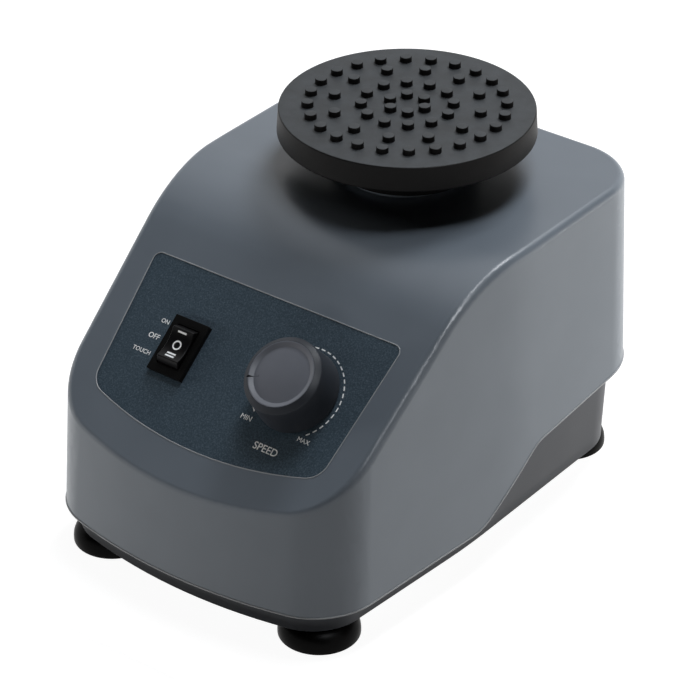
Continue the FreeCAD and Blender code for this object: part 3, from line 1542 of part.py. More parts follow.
def control_board():
    blank = block("board_blank", ("-board_width / 2", "board_y - board_depth / 2", "board_level"),
                  ("board_width / 2", "board_y + board_depth / 2", "board_top"))
    holes = []
    screws = []
    for name, x, y in board_fixings():
        holes.append(rod(name + "_hole", "screw_diameter + 2 * fit_gap", "board_thickness + 2 * cut_margin",
                         (x, y, "board_level - cut_margin")))
        screws.append(small_screw(name + "_screw", x, y, "board_top"))
    node(trim("board", blank, *holes), "control_board")
    node(group("board_screw_set", screws), "board_screws")

    sink_y = "board_y + board_depth / 4"
    sink_low_x = "-sink_width / 2"
    web = block("sink_web", (sink_low_x, sink_y, "board_top"),
                ("sink_width / 2", f"{sink_y} + sink_base", "board_top + sink_height"))
    fins = []
    fin_count = 5
    fin_back = f"{sink_y} + sink_base + sink_fin_depth"
    for index in range(fin_count):
        x = f"{sink_low_x} + {index} * (sink_width - sink_fin) / {fin_count - 1}"
        fins.append(block(f"sink_fin_{index}", (x, f"{sink_y} + sink_base", "board_top"),
                          (f"{x} + sink_fin", fin_back, "board_top + sink_height")))
    node(join("sink", web, *fins), "heat_sink")
    node(block("triac_case", ("-triac_width / 2", f"{sink_y} - triac_thickness", "board_top"),
               ("triac_width / 2", sink_y, "board_top + triac_height")), "triac")
    cap_x = "-board_width / 4 - capacitor_width / 2"
    cap_half = "capacitor_depth / 2"
    node(block("capacitor_case", (cap_x, f"board_y - {cap_half}", "board_top"),
               (f"{cap_x} + capacitor_width", f"board_y + {cap_half}", "board_top + capacitor_height")),
         "suppressor_capacitor")
    front = "board_y - board_depth / 2 + terminal_block_depth / 2"
    back = f"{front} + terminal_block_depth"
    case = block("terminal_case", ("-terminal_block_width / 2", front, "board_top"),
                 ("terminal_block_width / 2", back, "board_top + terminal_block_height"))
    wells = []
    well_count = 6
    for index in range(well_count):
        x = f"-terminal_block_width / 2 + ({index} + 0.5) * terminal_block_width / {well_count}"
        wells.append(rod(f"terminal_well_{index}", "terminal_block_depth / 2.5", "terminal_block_height",
                         (x, f"{front} + terminal_block_depth / 2", "board_top + terminal_block_height / 2")))
    node(trim("terminals", case, *wells), "terminal_block")


# Mains inlet

def mains_inlet():
    flange_outline = rectangle("inlet_flange_width", "inlet_flange_height")
    flange = padded("inlet_flange_plate", flange_outline, "inlet_flange",
                    ("0", "inlet_face", "inlet_z"), ("1; 0; 0", "90"))
    half_width = "inlet_body_width / 2"
    half_height = "inlet_body_height / 2"
    case = block("inlet_case", (f"-{half_width}", "inlet_back", f"inlet_z - {half_height}"),
                 (half_width, "pocket_floor", f"inlet_z + {half_height}"))
    socket_half = "socket_width / 2"
    rise = "socket_height / 2"
    cavity = padded("inlet_socket", (
        (f"-{socket_half}", f"-{rise}"),
        (socket_half, f"-{rise}"),
        (socket_half, f"{rise} - socket_corner"),
        (f"{socket_half} - socket_corner", rise),
        (f"-{socket_half} + socket_corner", rise),
        (f"-{socket_half}", f"{rise} - socket_corner"),
    ), "socket_depth + cut_margin", ("0", "inlet_face + cut_margin", "inlet_z"), ("1; 0; 0", "90"))
    socket_back = "inlet_face - socket_depth"
    pins = []
    slots = []
    for name, column, row in (("line", -1, -1), ("neutral", 1, -1), ("earth", 0, 1)):
        x = f"{column} * inlet_pin_pitch"
        z = f"inlet_z + {row} * inlet_pin_drop"
        tip = f"{socket_back} + inlet_pin_length"
        low = (f"{x} - inlet_pin_width / 2", "inlet_back - inlet_tail", f"{z} - inlet_pin_height / 2")
        high = (f"{x} + inlet_pin_width / 2", tip, f"{z} + inlet_pin_height / 2")
        pins.append(block(f"inlet_pin_{name}", low, high))
        slots.append(block(f"inlet_slot_{name}",
                           (f"{low[0]} - fit_gap", "inlet_back - cut_margin", f"{low[2]} - fit_gap"),
                           (f"{high[0]} + fit_gap", socket_back, f"{high[2]} + fit_gap")))
    node(trim("inlet", join("inlet_whole", flange, case), cavity, *slots), "mains_inlet")
    node(group("inlet_pin_set", pins), "inlet_pins")


def check_and_write():
    doc.recompute()
    faults = []
    for item in doc.Objects:
        if "Invalid" in item.State or "Error" in item.State:
            faults.append(f"{item.Name}: {item.State}")
    for piece in nodes:
        if piece.Shape.isNull() or not piece.Shape.isValid():
            faults.append(f"{piece.Label}: shape is null or not valid")
    if faults:
        raise RuntimeError("\n".join(faults))
    os.makedirs("parts", exist_ok=True)
    for piece in nodes:
        piece.Shape.exportStep(os.path.join("parts", piece.Label + ".step"))
        box = piece.Shape.BoundBox
        print(f"{piece.Label}: {len(piece.Shape.Solids)} solid(s), "
              f"{box.XLength:.1f} x {box.YLength:.1f} x {box.ZLength:.1f} mm, {piece.Shape.Volume:.0f} mm3")


top_cover()
base_tub()
suction_feet()
housing_screws()
panel_label()
rocker_switch()
speed_control()
platform()
head()
crank()
motor_plate()
motor()
slide_guides()
guide_ring()
microswitch()
control_board()
mains_inlet()
check_and_write()
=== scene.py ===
# %% [markdown]
# # A bench-top tube mixer, dressed for its picture
# The mixer's solids come from CAD, at their real size and in their real places. This lesson gives
# them their looks: satin grey plastic, a printed slate film, black rubber and a soft white studio.
# Nothing is moved or resized. A piece that needs finer edges than its solid has is made again here,
# in the same place, and rides on the same moving body.

# %% Load the solids and keep their box
import json
import math

import bmesh
import bpy
from mathutils import Color, Matrix, Vector
from mathutils.bvhtree import BVHTree

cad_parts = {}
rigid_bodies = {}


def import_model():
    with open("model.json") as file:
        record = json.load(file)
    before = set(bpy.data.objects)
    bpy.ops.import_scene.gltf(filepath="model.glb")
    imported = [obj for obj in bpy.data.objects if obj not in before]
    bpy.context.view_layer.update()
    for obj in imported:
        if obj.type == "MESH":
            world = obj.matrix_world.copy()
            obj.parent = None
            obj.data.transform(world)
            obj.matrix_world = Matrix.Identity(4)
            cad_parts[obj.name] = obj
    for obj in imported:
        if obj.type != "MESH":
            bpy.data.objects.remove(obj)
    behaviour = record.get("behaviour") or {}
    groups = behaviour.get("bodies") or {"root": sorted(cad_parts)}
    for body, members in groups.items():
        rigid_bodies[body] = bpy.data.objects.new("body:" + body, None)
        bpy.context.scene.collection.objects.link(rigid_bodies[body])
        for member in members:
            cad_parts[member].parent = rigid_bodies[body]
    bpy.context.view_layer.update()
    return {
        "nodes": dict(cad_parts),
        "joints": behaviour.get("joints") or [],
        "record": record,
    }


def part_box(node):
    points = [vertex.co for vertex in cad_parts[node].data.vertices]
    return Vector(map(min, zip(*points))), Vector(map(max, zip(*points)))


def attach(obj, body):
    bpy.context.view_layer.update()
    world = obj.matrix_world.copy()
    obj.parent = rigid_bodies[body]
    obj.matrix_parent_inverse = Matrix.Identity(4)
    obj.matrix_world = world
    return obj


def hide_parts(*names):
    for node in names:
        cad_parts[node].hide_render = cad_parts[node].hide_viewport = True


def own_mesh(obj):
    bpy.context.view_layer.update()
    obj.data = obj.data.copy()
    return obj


for leftover in list(bpy.data.objects):
    bpy.data.objects.remove(leftover)

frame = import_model()

MM = 0.001
scene = bpy.context.scene
scene.view_settings.view_transform = "Standard"
nodes = frame["nodes"]
joints = {joint["name"]: joint for joint in frame["joints"]}
slot_of = {part["node"]: part["material_slot"] for part in frame["record"]["subparts"]}

# %% [markdown]
# ## The camera
# The picture looks down on the mixer from the front right through a long lens, so parallel edges
# stay nearly parallel. A camera can be aimed with a constraint or by turning it in code. Here it is
# turned in code, because then nothing has to be kept beside it.

# %% Aim the camera
CAMERA_PLACE = Vector((594.35, -772.80, 662.26)) * MM
CAMERA_AIM = Vector((0.0, 5.65, 56.42)) * MM
CAMERA_LENS = 168.28
CAMERA_SENSOR = 36.0

camera_data = bpy.data.cameras.new("bench_camera")
camera_data.lens = CAMERA_LENS
camera_data.sensor_width = CAMERA_SENSOR
camera = bpy.data.objects.new("bench_camera", camera_data)
camera.location = CAMERA_PLACE
camera.rotation_euler = (CAMERA_AIM - CAMERA_PLACE).to_track_quat("-Z", "Y").to_euler()
scene.collection.objects.link(camera)
scene.camera = camera
print("camera stands", round((CAMERA_AIM - CAMERA_PLACE).length, 3), "m away")

# %% [markdown]
# ## Finishes
# Every finish here is moulded, printed, turned or painted, and none is one flat colour: a mould
# leaves a fine grain, and colour and gloss drift a little over a surface. A picture could be laid
# over the pieces, but noise on each piece's own coordinates needs no picture and stays put when
# the piece moves. One builder makes them all: broad patches drive the colour, a fine grain drives
# the gloss and a bump of a real depth.

# %% Nodes for a grained finish
NOISE_DETAIL = 2.0
NOISE_ROUGHNESS = 0.55
WAVE_BANDS = 20
BAND_WOBBLE = 0.15
PATCH_ENDS = (0.3, 0.7)


def paint(red, green, blue):
    """A colour written as on a screen, 0 to 255, as the shader wants it."""
    return (*Color((red / 255, green / 255, blue / 255)).from_srgb_to_scene_linear(), 1.0)


def add_node(tree, kind, inputs=None, **settings):
    node = tree.nodes.new(kind)
    for name, setting in settings.items():
        setattr(node, name, setting)
    for name, value in (inputs or {}).items():
        node.inputs[name].default_value = value
    return node


def wire(tree, *pairs):
    for outlet, inlet in pairs:
        tree.links.new(outlet, inlet)


def noise(tree, place, size):
    """Noise whose blotches are about a size across, in metres."""
    node = add_node(tree, "ShaderNodeTexNoise",
                    {"Scale": 1 / size, "Detail": NOISE_DETAIL, "Roughness": NOISE_ROUGHNESS})
    wire(tree, (place, node.inputs["Vector"]))
    return node.outputs["Fac"]


def bands(tree, place, size):
    """Even bands one above the other, as turns of wire or a stack of sheets show."""
    node = add_node(tree, "ShaderNodeTexWave",
                    {"Scale": math.tau / (WAVE_BANDS * size), "Distortion": BAND_WOBBLE},
                    bands_direction="Z")
    wire(tree, (place, node.inputs["Vector"]))
    return node.outputs["Fac"]


def grained(name, dark, light, gloss, grain, depth, patch=12 * MM, stretch=None, banded=None, **shader):
    """A finish: two colours in broad patches, a (low, high) roughness and a bump from a fine grain."""
    material = bpy.data.materials.new(name)
    material.use_nodes = True
    tree = material.node_tree
    surface = tree.nodes["Principled BSDF"]
    for socket, value in shader.items():
        surface.inputs[socket.replace("_", " ")].default_value = value
    place = add_node(tree, "ShaderNodeTexCoord").outputs["Object"]
    if stretch:
        mapping = add_node(tree, "ShaderNodeMapping", {"Scale": stretch})
        wire(tree, (place, mapping.inputs["Vector"]))
        place = mapping.outputs["Vector"]
    fine = bands(tree, place, banded) if banded else noise(tree, place, grain)
    broad = fine if banded else noise(tree, place, patch)
    ramp = add_node(tree, "ShaderNodeValToRGB")
    for element, position, colour in zip(ramp.color_ramp.elements, PATCH_ENDS, (dark, light)):
        element.position = position
        element.color = colour
    spread = add_node(tree, "ShaderNodeMapRange", {"To Min": gloss[0], "To Max": gloss[1]})
    bump = add_node(tree, "ShaderNodeBump", {"Strength": 1.0, "Distance": depth})
    wire(tree,
         (broad, ramp.inputs["Fac"]),
         (ramp.outputs["Color"], surface.inputs["Base Color"]),
         (fine, spread.inputs["Value"]),
         (spread.outputs["Result"], surface.inputs["Roughness"]),
         (fine, bump.inputs["Height"]),
         (bump.outputs["Normal"], surface.inputs["Normal"]))
    return material


# %% [markdown]
# The shells are satin grey, moulded against a finely eroded steel mould. The knob is a soft-touch plastic
# whose grip is painted darker as shade, the bezel and skirt are black, and the rocker is polished a little
# more.
# Rubber is darker still, and its soft skin mirrors very little, so its specular level is low. Metals
# are fully metallic, with a grain drawn out along the way they were brushed, rolled or turned, and a
# winding or a stack of sheets shows its bands.

# %% Finishes for each material slot
BRUSHED = (1.0, 1.0, 0.05)

finish = {
    "housing_grey": grained("satin_grey", paint(101, 109, 118), paint(106, 114, 123), (0.28, 0.36),
                            0.45 * MM, 0.004 * MM, 30 * MM, Specular_IOR_Level=0.5),
    # Painted shade: the tub's grey is set darker than the cover's, partly for the shade on its strip under
    # the cover's edge.
    "tub_grey": grained("tub_grey", paint(84, 86, 90), paint(90, 92, 96), (0.42, 0.54),
                        0.45 * MM, 0.006 * MM, 30 * MM, Specular_IOR_Level=0.08),
    "foot_rubber": grained("foot_rubber", paint(7, 6, 6), paint(11, 10, 10), (0.30, 0.40),
                           0.8 * MM, 0.008 * MM, 9 * MM, Specular_IOR_Level=0.05),
    "platform_rubber": grained("platform_rubber", paint(9, 8, 8), paint(14, 13, 13), (0.42, 0.54),
                               0.5 * MM, 0.012 * MM, 7 * MM, Specular_IOR_Level=0.12),
    "black_plastic": grained("black_plastic", paint(10, 10, 10), paint(15, 15, 15), (0.36, 0.48),
                             0.4 * MM, 0.006 * MM, Specular_IOR_Level=0.07),
    "rocker_black": grained("polished_black", paint(11, 11, 12), paint(15, 15, 16), (0.28, 0.36),
                            0.5 * MM, 0.002 * MM, Specular_IOR_Level=0.14),
    # Painted shade: the knob's grip grey is set dark for the shade on its sides.
    "knob_grey": grained("shaded_grip_grey", paint(44, 47, 53), paint(49, 52, 58), (0.36, 0.46),
                         0.35 * MM, 0.005 * MM, Specular_IOR_Level=0.15),
    "steel": grained("rolled_steel", paint(186, 188, 191), paint(200, 202, 205), (0.22, 0.36),
                     0.3 * MM, 0.004 * MM, stretch=BRUSHED, Metallic=1.0),
    "core_steel": grained("stacked_sheet", paint(120, 120, 122), paint(158, 158, 160), (0.35, 0.5),
                          0.3 * MM, 0.03 * MM, banded=0.5 * MM, Metallic=1.0),
    "motor_paint": grained("motor_enamel", paint(84, 88, 92), paint(92, 96, 100), (0.3, 0.42),
                           1.5 * MM, 0.02 * MM),
    "aluminium": grained("turned_aluminium", paint(205, 207, 209), paint(216, 218, 220), (0.25, 0.4),
                         0.3 * MM, 0.005 * MM, stretch=BRUSHED, Metallic=1.0),
    "bronze": grained("sintered_bronze", paint(178, 142, 92), paint(196, 160, 108), (0.35, 0.5),
                      0.25 * MM, 0.01 * MM, 2 * MM, Metallic=1.0),
    "contact_brass": grained("contact_brass", paint(205, 186, 140), paint(222, 205, 160), (0.2, 0.32),
                             0.3 * MM, 0.003 * MM, stretch=BRUSHED, Metallic=1.0),
    "winding_copper": grained("enamelled_wire", paint(120, 56, 30), paint(196, 108, 62), (0.25, 0.38),
                              0.3 * MM, 0.12 * MM, banded=0.7 * MM, Metallic=0.8),
    "board_green": grained("solder_mask", paint(20, 74, 46), paint(30, 96, 60), (0.28, 0.4),
                           1.2 * MM, 0.02 * MM, 3 * MM),
    "component_black": grained("moulded_case", paint(30, 30, 31), paint(38, 38, 39), (0.45, 0.6),
                               0.3 * MM, 0.01 * MM),
    "capacitor_yellow": grained("film_capacitor", paint(206, 170, 60), paint(216, 180, 70), (0.35, 0.5),
                                0.5 * MM, 0.01 * MM),
    "terminal_green": grained("terminal_green", paint(48, 120, 82), paint(56, 130, 92), (0.35, 0.5),
                              0.4 * MM, 0.008 * MM),
    "plunger_red": grained("plunger_red", paint(170, 44, 36), paint(182, 52, 42), (0.3, 0.42),
                           0.4 * MM, 0.005 * MM),
}
print("finishes:", len(finish))

# %% [markdown]
# The slope carries a printed film. From close by, its slate blue is full of tiny lighter and darker
# specks, as textured polycarbonate film is. Two noises could be mixed for that, but one very fine
# noise on a ramp of three colours gives crisp specks. The white ink on it is a little uneven and matt.
# The upper faces of the platform are painted a dusty dark grey over its black skin: partly dust, and partly
# painted light from above.
# The knob's satin cap is painted paler than its soft grip as painted light, and the grip darker as painted
# shade. Two fine edge lines are painted paler still, as painted highlights.

# %% The printed film, its ink, and rubber, cap and edges with painted light
SPECK = 0.55 * MM
SPECK_DETAIL = 3.0
FILM_ENDS = ((0.36, paint(45, 58, 68)), (0.52, paint(56, 70, 81)), (0.70, paint(74, 88, 99)))


def speckled_film():
    material = grained("slate_film", FILM_ENDS[0][1], FILM_ENDS[2][1], (0.40, 0.54), SPECK, 0.01 * MM,
                       patch=SPECK, Specular_IOR_Level=0.3)
    ramp = next(node for node in material.node_tree.nodes if node.type == "VALTORGB")
    ramp.inputs["Fac"].links[0].from_node.inputs["Detail"].default_value = SPECK_DETAIL
    ramp.color_ramp.elements.new(FILM_ENDS[1][0])
    for element, (position, colour) in zip(ramp.color_ramp.elements, FILM_ENDS):
        element.position = position
        element.color = colour
    return material


finish["label_blue"] = speckled_film()
ink = grained("white_ink", paint(238, 240, 241), paint(248, 249, 249), (0.45, 0.6), 0.3 * MM, 0.004 * MM,
              3 * MM)
# Painted light: the platform's upward faces get this paler grey, partly for dust and partly for light from
# above.
dust_and_top_light_rubber = grained("dust_and_top_light_rubber", paint(46, 48, 50), paint(57, 60, 63), (0.50, 0.66), 0.5 * MM,
                      0.02 * MM, 6 * MM, Specular_IOR_Level=0.25)
# Painted light: the knob's cap takes a paler copy of the grip's grey, for light from above.
lit_cap_grey = grained("lit_cap_grey", paint(102, 105, 113), paint(107, 110, 118), (0.32, 0.40), 0.35 * MM,
                   0.003 * MM, Specular_IOR_Level=0.35)
# Painted highlight: a paler grey for the fine beads, standing in for the light that their rounds catch.
bead_highlight_grey = grained("bead_highlight_grey", paint(146, 149, 153), paint(152, 155, 159), (0.28, 0.36), 0.45 * MM,
                    0.004 * MM, 30 * MM)

for node, solid in nodes.items():
    solid.data.materials.clear()
    solid.data.materials.append(finish[slot_of[node]])
print("dressed solids:", len(nodes))

# %% [markdown]
# ## Making pieces again with soft edges
# A solid from CAD has knife-sharp edges, but a moulded edge is always a little round and catches the
# light. There are two ways here. A turned piece is spun again from its profile, with an arc at each
# corner. Any other piece is copied, its loose triangles are joined, and a bevel rounds its edges.

# %% Helpers for turned pieces
ARC_STEP = math.radians(15)
LEAST_STEPS = 2


def rounded_profile(corners):
    """Points of a (radius, height, round) outline in millimetres, with an arc at each rounded corner."""
    points = []
    for index, (radius, height, rounding) in enumerate(corners):
        corner = Vector((radius, height))
        if not rounding:
            points.append(corner)
            continue
        before = (Vector(corners[index - 1][:2]) - corner).normalized()
        after = (Vector(corners[index + 1][:2]) - corner).normalized()
        opening = before.angle(after)
        centre = corner + (before + after).normalized() * (rounding / math.sin(opening / 2))
        reach = rounding / math.tan(opening / 2)
        start = corner + before * reach - centre
        sweep = start.angle_signed(corner + after * reach - centre)
        steps = max(LEAST_STEPS, math.ceil(abs(sweep) / ARC_STEP))
        for step in range(steps + 1):
            points.append(centre + Matrix.Rotation(-sweep * step / steps, 2) @ start)
    return points


def turned(name, corners, frame_of_piece, steps):
    """A mesh spun about the Z axis of a frame from a rounded outline in millimetres."""
    shape = bmesh.new()
    rings = []
    for radius, height in rounded_profile(corners):
        count = steps if radius else 1
        around = []
        for step in range(count):
            angle = math.tau * step / count
            spot = (radius * math.cos(angle) * MM, radius * math.sin(angle) * MM, height * MM)
            around.append(shape.verts.new(spot))
        rings.append(around)
    for lower, upper in zip(rings, rings[1:]):
        for step in range(steps):
            patch = (lower[step % len(lower)], lower[(step + 1) % len(lower)],
                     upper[(step + 1) % len(upper)], upper[step % len(upper)])
            patch = list(dict.fromkeys(patch))
            if len(patch) > 2:
                shape.faces.new(patch)
    bmesh.ops.recalc_face_normals(shape, faces=shape.faces)
    bmesh.ops.transform(shape, matrix=frame_of_piece, verts=shape.verts)
    return mesh_from(name, shape)


def mesh_from(name, shape):
    mesh = bpy.data.meshes.new(name)
    shape.to_mesh(mesh)
    shape.free()
    return mesh


# %% Helpers for copied pieces
JOIN_WITHIN = 0.002 * MM
FLAT_WITHIN = math.radians(0.4)
SHARP_OVER = 35
EDGE_OVER = 40


def smoothed(mesh, sharp_over=SHARP_OVER):
    """The mesh shaded smooth, but not across edges sharper than an angle in degrees."""
    for face in mesh.polygons:
        face.use_smooth = True
    mesh.set_sharp_from_angle(angle=math.radians(sharp_over))
    return mesh


def piece(name, mesh, material):
    made = bpy.data.objects.new(name, mesh)
    mesh.materials.clear()
    mesh.materials.append(material)
    scene.collection.objects.link(made)
    return made


def applied(made):
    """The piece with its modifiers turned into plain mesh."""
    view = bpy.context.evaluated_depsgraph_get()
    mesh = bpy.data.meshes.new_from_object(made.evaluated_get(view))
    made.modifiers.clear()
    made.data = mesh
    return made


def copied(node, name):
    """A copy of a solid with its triangles joined and its flat parts made whole again."""
    source = nodes[node].data
    mesh = bpy.data.meshes.new(name)
    mesh.from_pydata([v.co for v in source.vertices], [], [tuple(face.vertices) for face in source.polygons])
    shape = bmesh.new()
    shape.from_mesh(mesh)
    bmesh.ops.remove_doubles(shape, verts=shape.verts, dist=JOIN_WITHIN)
    bmesh.ops.dissolve_limit(shape, angle_limit=FLAT_WITHIN, verts=shape.verts, edges=shape.edges)
    shape.to_mesh(mesh)
    shape.free()
    return mesh


def softened(node, name, width, segments=3, over=EDGE_OVER):
    """A copy of a solid whose edges sharper than an angle are rounded over a width."""
    made = piece(name, smoothed(copied(node, name), over), finish[slot_of[node]])
    bevel = made.modifiers.new("edges", "BEVEL")
    bevel.width = width
    bevel.segments = segments
    bevel.limit_method = "ANGLE"
    bevel.angle_limit = math.radians(over)
    bevel.use_clamp_overlap = True
    bevel.harden_normals = True
    return applied(made)


def stands_for(made, body, *replaced):
    """The piece moves with a body and hides the solids that it replaces."""
    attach(made, body)
    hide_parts(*replaced)
    print(made.name, len(made.data.polygons), "faces on", body)


# %% [markdown]
# ## The sloped panel's own frame
# The knob and the rocker sit on a slope, so their sizes are easiest to give across it and up it. The
# knob's own turning axis tells where the slope is: it points straight into the panel.

# %% Frames on the slope
FILM_LEVEL = -0.1 * MM
ROCKER_PIVOT_DEPTH = 1.0 * MM


def slope_frame(at):
    """X to the right, Y up the slope and Z out of it, from a point."""
    outward = -Vector(joints["knob_turn"]["axis"]).normalized()
    right = Vector((1, 0, 0))
    turn = Matrix((right, outward.cross(right), outward)).transposed().to_4x4()
    return Matrix.Translation(at) @ turn


dial_frame = slope_frame(Vector(joints["knob_turn"]["pos_m"]))
pivot_frame = slope_frame(Vector(joints["rocker_tilt"]["pos_m"]))
switch_frame = pivot_frame @ Matrix.Translation((0, 0, ROCKER_PIVOT_DEPTH))
slope_angle = math.degrees(dial_frame.to_3x3().col[2].angle(Vector((0, 0, 1))))
print("slope of the panel:", round(slope_angle, 2), "degrees")

# %% [markdown]
# ## The shells
# The cover is one deep moulding with a crowned top, and the tub closes it from below. Their solids
# already have the large rounds. What the cover's solid lacks are two hair-thin lines that catch the
# light: one along its lower edge and one round the recess of the printed film. A bevel on every edge
# would also cut into the ribs and bosses inside. So each line is a fine bead, a curve with a round
# section, which follows edges that are picked out by the way their two faces look. The beads are
# painted a paler grey than the cover, as a painted highlight.

# %% Cover
UNDERSIDE = -0.5
UPRIGHT = 0.4
OUTERMOST = 4 * MM
SAME_WAY = 0.999
ACROSS = 0.1
ON_PANEL = 0.05 * MM
FACE_WEIGHT = 80


def on_lip(shape, edge):
    """An edge between an outermost wall and the underside."""
    under, wall = sorted(edge.link_faces, key=lambda face: face.normal.z)
    if under.normal.z > UNDERSIDE or abs(wall.normal.z) > UPRIGHT:
        return False
    outward = wall.normal.xy.normalized()
    reach = max(outward.dot(vert.co.xy) for vert in shape.verts)
    return outward.dot(edge.verts[0].co.xy) > reach - OUTERMOST


def on_recess(edge):
    """An edge between the sloped panel and the wall of the film's recess."""
    outward = dial_frame.to_3x3().col[2]
    leanings = sorted(outward.dot(face.normal) for face in edge.link_faces)
    height = outward.dot(edge.verts[0].co - dial_frame.translation)
    return leanings[1] > SAME_WAY and abs(leanings[0]) < ACROSS and abs(height) < ON_PANEL


def longest_loop(edges):
    """The points of the longest chain that the edges make, in order."""
    left = dict.fromkeys(edges)
    best = []
    while left:
        edge, _ = left.popitem()
        chain = list(edge.verts)
        while True:
            following = next((other for other in chain[-1].link_edges if other in left), None)
            if following is None:
                break
            del left[following]
            chain.append(following.other_vert(chain[-1]))
        if len(chain) > len(best):
            best = chain
    return [vert.co.copy() for vert in best[:-1]]


cover_mesh = copied("top_cover", "cover_shell")
shape = bmesh.new()
shape.from_mesh(cover_mesh)
lip = longest_loop([edge for edge in shape.edges if on_lip(shape, edge)])
recess = longest_loop([edge for edge in shape.edges if on_recess(edge)])
shape.free()
print("points on the lower edge:", len(lip), "and round the recess:", len(recess))

cover = piece("cover_shell", smoothed(cover_mesh, EDGE_OVER), finish["housing_grey"])
even = cover.modifiers.new("even_shading", "WEIGHTED_NORMAL")
even.keep_sharp = True
even.weight = FACE_WEIGHT
stands_for(applied(cover), "housing", "top_cover")

# %% Beads on the cover's edges
LIP_BEAD = 0.32 * MM
RECESS_BEAD = 0.2 * MM
BEAD_STEPS = 2
BEAD_SHARP_OVER = 60


def bead(name, points, radius):
    """A closed round bead along points, fixed to the housing, painted paler as a highlight."""
    path = bpy.data.curves.new(name, "CURVE")
    path.dimensions = "3D"
    path.bevel_depth = radius
    path.bevel_resolution = BEAD_STEPS
    line = path.splines.new("POLY")
    line.points.add(len(points) - 1)
    for point, spot in zip(line.points, points):
        point.co = (*spot, 1)
    line.use_cyclic_u = True
    drawn = bpy.data.objects.new(name + "_line", path)
    scene.collection.objects.link(drawn)
    view = bpy.context.evaluated_depsgraph_get()
    mesh = bpy.data.meshes.new_from_object(drawn.evaluated_get(view))
    bpy.data.objects.remove(drawn)
    # Painted highlight: the bead takes the paler grey instead of the cover's.
    made = piece(name, smoothed(mesh, BEAD_SHARP_OVER), bead_highlight_grey)
    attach(made, "housing")
    print(name, len(mesh.polygons), "faces")


bead("cover_bead", [spot + Vector((0, 0, LIP_BEAD)) for spot in lip], LIP_BEAD)
bead("film_bead", recess, RECESS_BEAD)

# %% Tub and inlet
TUB_EDGE = 0.35 * MM
INLET_EDGE = 0.4 * MM
tub = softened("base_tub", "tub_shell", TUB_EDGE, segments=2)
stands_for(tub, "housing", "base_tub")
inlet = softened("mains_inlet", "inlet_socket", INLET_EDGE)
stands_for(inlet, "housing", "mains_inlet")

# %% [markdown]
# ## The suction feet
# Four black rubber cups carry the mixer: each is a low dome with a hollow below, held by a screw. One
# foot could be copied by hand, but Geometry Nodes put it on each of four points at once, so a change
# to the outline or the places changes all of them.

# %% A tree that puts one shape on every point
def new_tree(name, sockets):
    """A modifier tree with inputs of these names and kinds, and the node that gives them."""
    tree = bpy.data.node_groups.new(name, "GeometryNodeTree")
    tree.is_modifier = True
    tree.interface.new_socket("Geometry", in_out="OUTPUT", socket_type="NodeSocketGeometry")
    for socket, kind in sockets.items():
        tree.interface.new_socket(socket, in_out="INPUT", socket_type="NodeSocket" + kind)
    return tree, tree.nodes.new("NodeGroupInput")


def hand_on_copies(tree, given, points, shape, turn=None):
    """Puts a shape on each point, turned if asked, and hands the coated copies on."""
    spread = tree.nodes.new("GeometryNodeInstanceOnPoints")
    solid = tree.nodes.new("GeometryNodeRealizeInstances")
    coat = tree.nodes.new("GeometryNodeSetMaterial")
    result = tree.nodes.new("NodeGroupOutput")
    wire(tree,
         (points, spread.inputs["Points"]),
         (shape, spread.inputs["Instance"]),
         (spread.outputs["Instances"], solid.inputs["Geometry"]),
         (solid.outputs["Geometry"], coat.inputs["Geometry"]),
         (given.outputs["Finish"], coat.inputs["Material"]),
         (coat.outputs["Geometry"], result.inputs["Geometry"]))
    if turn:
        wire(tree, (turn, spread.inputs["Rotation"]))


def instancing_tree():
    tree, given = new_tree("shape_on_points", {"Points": "Geometry", "Shape": "Object", "Finish": "Material"})
    shape = tree.nodes.new("GeometryNodeObjectInfo")
    wire(tree, (given.outputs["Shape"], shape.inputs["Object"]))
    hand_on_copies(tree, given, given.outputs["Points"], shape.outputs["Geometry"])
    return tree


def set_inputs(modifier, **values):
    """Sets a tree's inputs by the identifiers of the sockets with these names."""
    for item in modifier.node_group.interface.items_tree:
        if item.item_type == "SOCKET" and item.in_out == "INPUT" and item.name in values:
            modifier[item.identifier] = values[item.name]


def on_points(name, places, shape_mesh, material):
    """One plain mesh with a shape at each place."""
    blank = piece(name + "_blank", shape_mesh, material)
    points = bpy.data.meshes.new(name)
    points.from_pydata(places, [], [])
    made = piece(name, points, material)
    modifier = made.modifiers.new("copies", "NODES")
    modifier.node_group = copies_tree
    set_inputs(modifier, Shape=blank, Finish=material)
    applied(made)
    bpy.data.objects.remove(blank)
    return made


copies_tree = instancing_tree()
print("tree inputs:", [item.name for item in copies_tree.interface.items_tree if item.in_out == "INPUT"])

# %% Suction feet
FEET = ("foot_front_left", "foot_front_right", "foot_rear_left", "foot_rear_right")
FOOT_RIM = 14.2
FOOT_HEIGHT = 8.0
FOOT_LIP = 1.4
FOOT_HOLE = 2.1
FOOT_HOLLOW = 5.0
FOOT_ROOF = 4.5
FOOT_DOME = 6.5
FOOT_STEPS = 96
FOOT_OUTLINE = (
    (FOOT_HOLE, FOOT_HEIGHT, 0),
    (FOOT_HOLE, FOOT_ROOF, 0),
    (FOOT_HOLLOW, FOOT_ROOF, 0.8),
    (FOOT_RIM - FOOT_LIP, 0, 0.3),
    (FOOT_RIM, 0, 0.4),
    (FOOT_RIM, FOOT_HEIGHT, FOOT_DOME),
    (FOOT_HOLE, FOOT_HEIGHT, 0),
)

foot_places = []
for foot in FEET:
    low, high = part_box(foot)
    foot_places.append(((low.x + high.x) / 2, (low.y + high.y) / 2, low.z))
foot_mesh = smoothed(turned("foot", FOOT_OUTLINE, Matrix.Identity(4), FOOT_STEPS))
feet = on_points("suction_feet", foot_places, foot_mesh, finish["foot_rubber"])
stands_for(feet, "housing", *FEET)

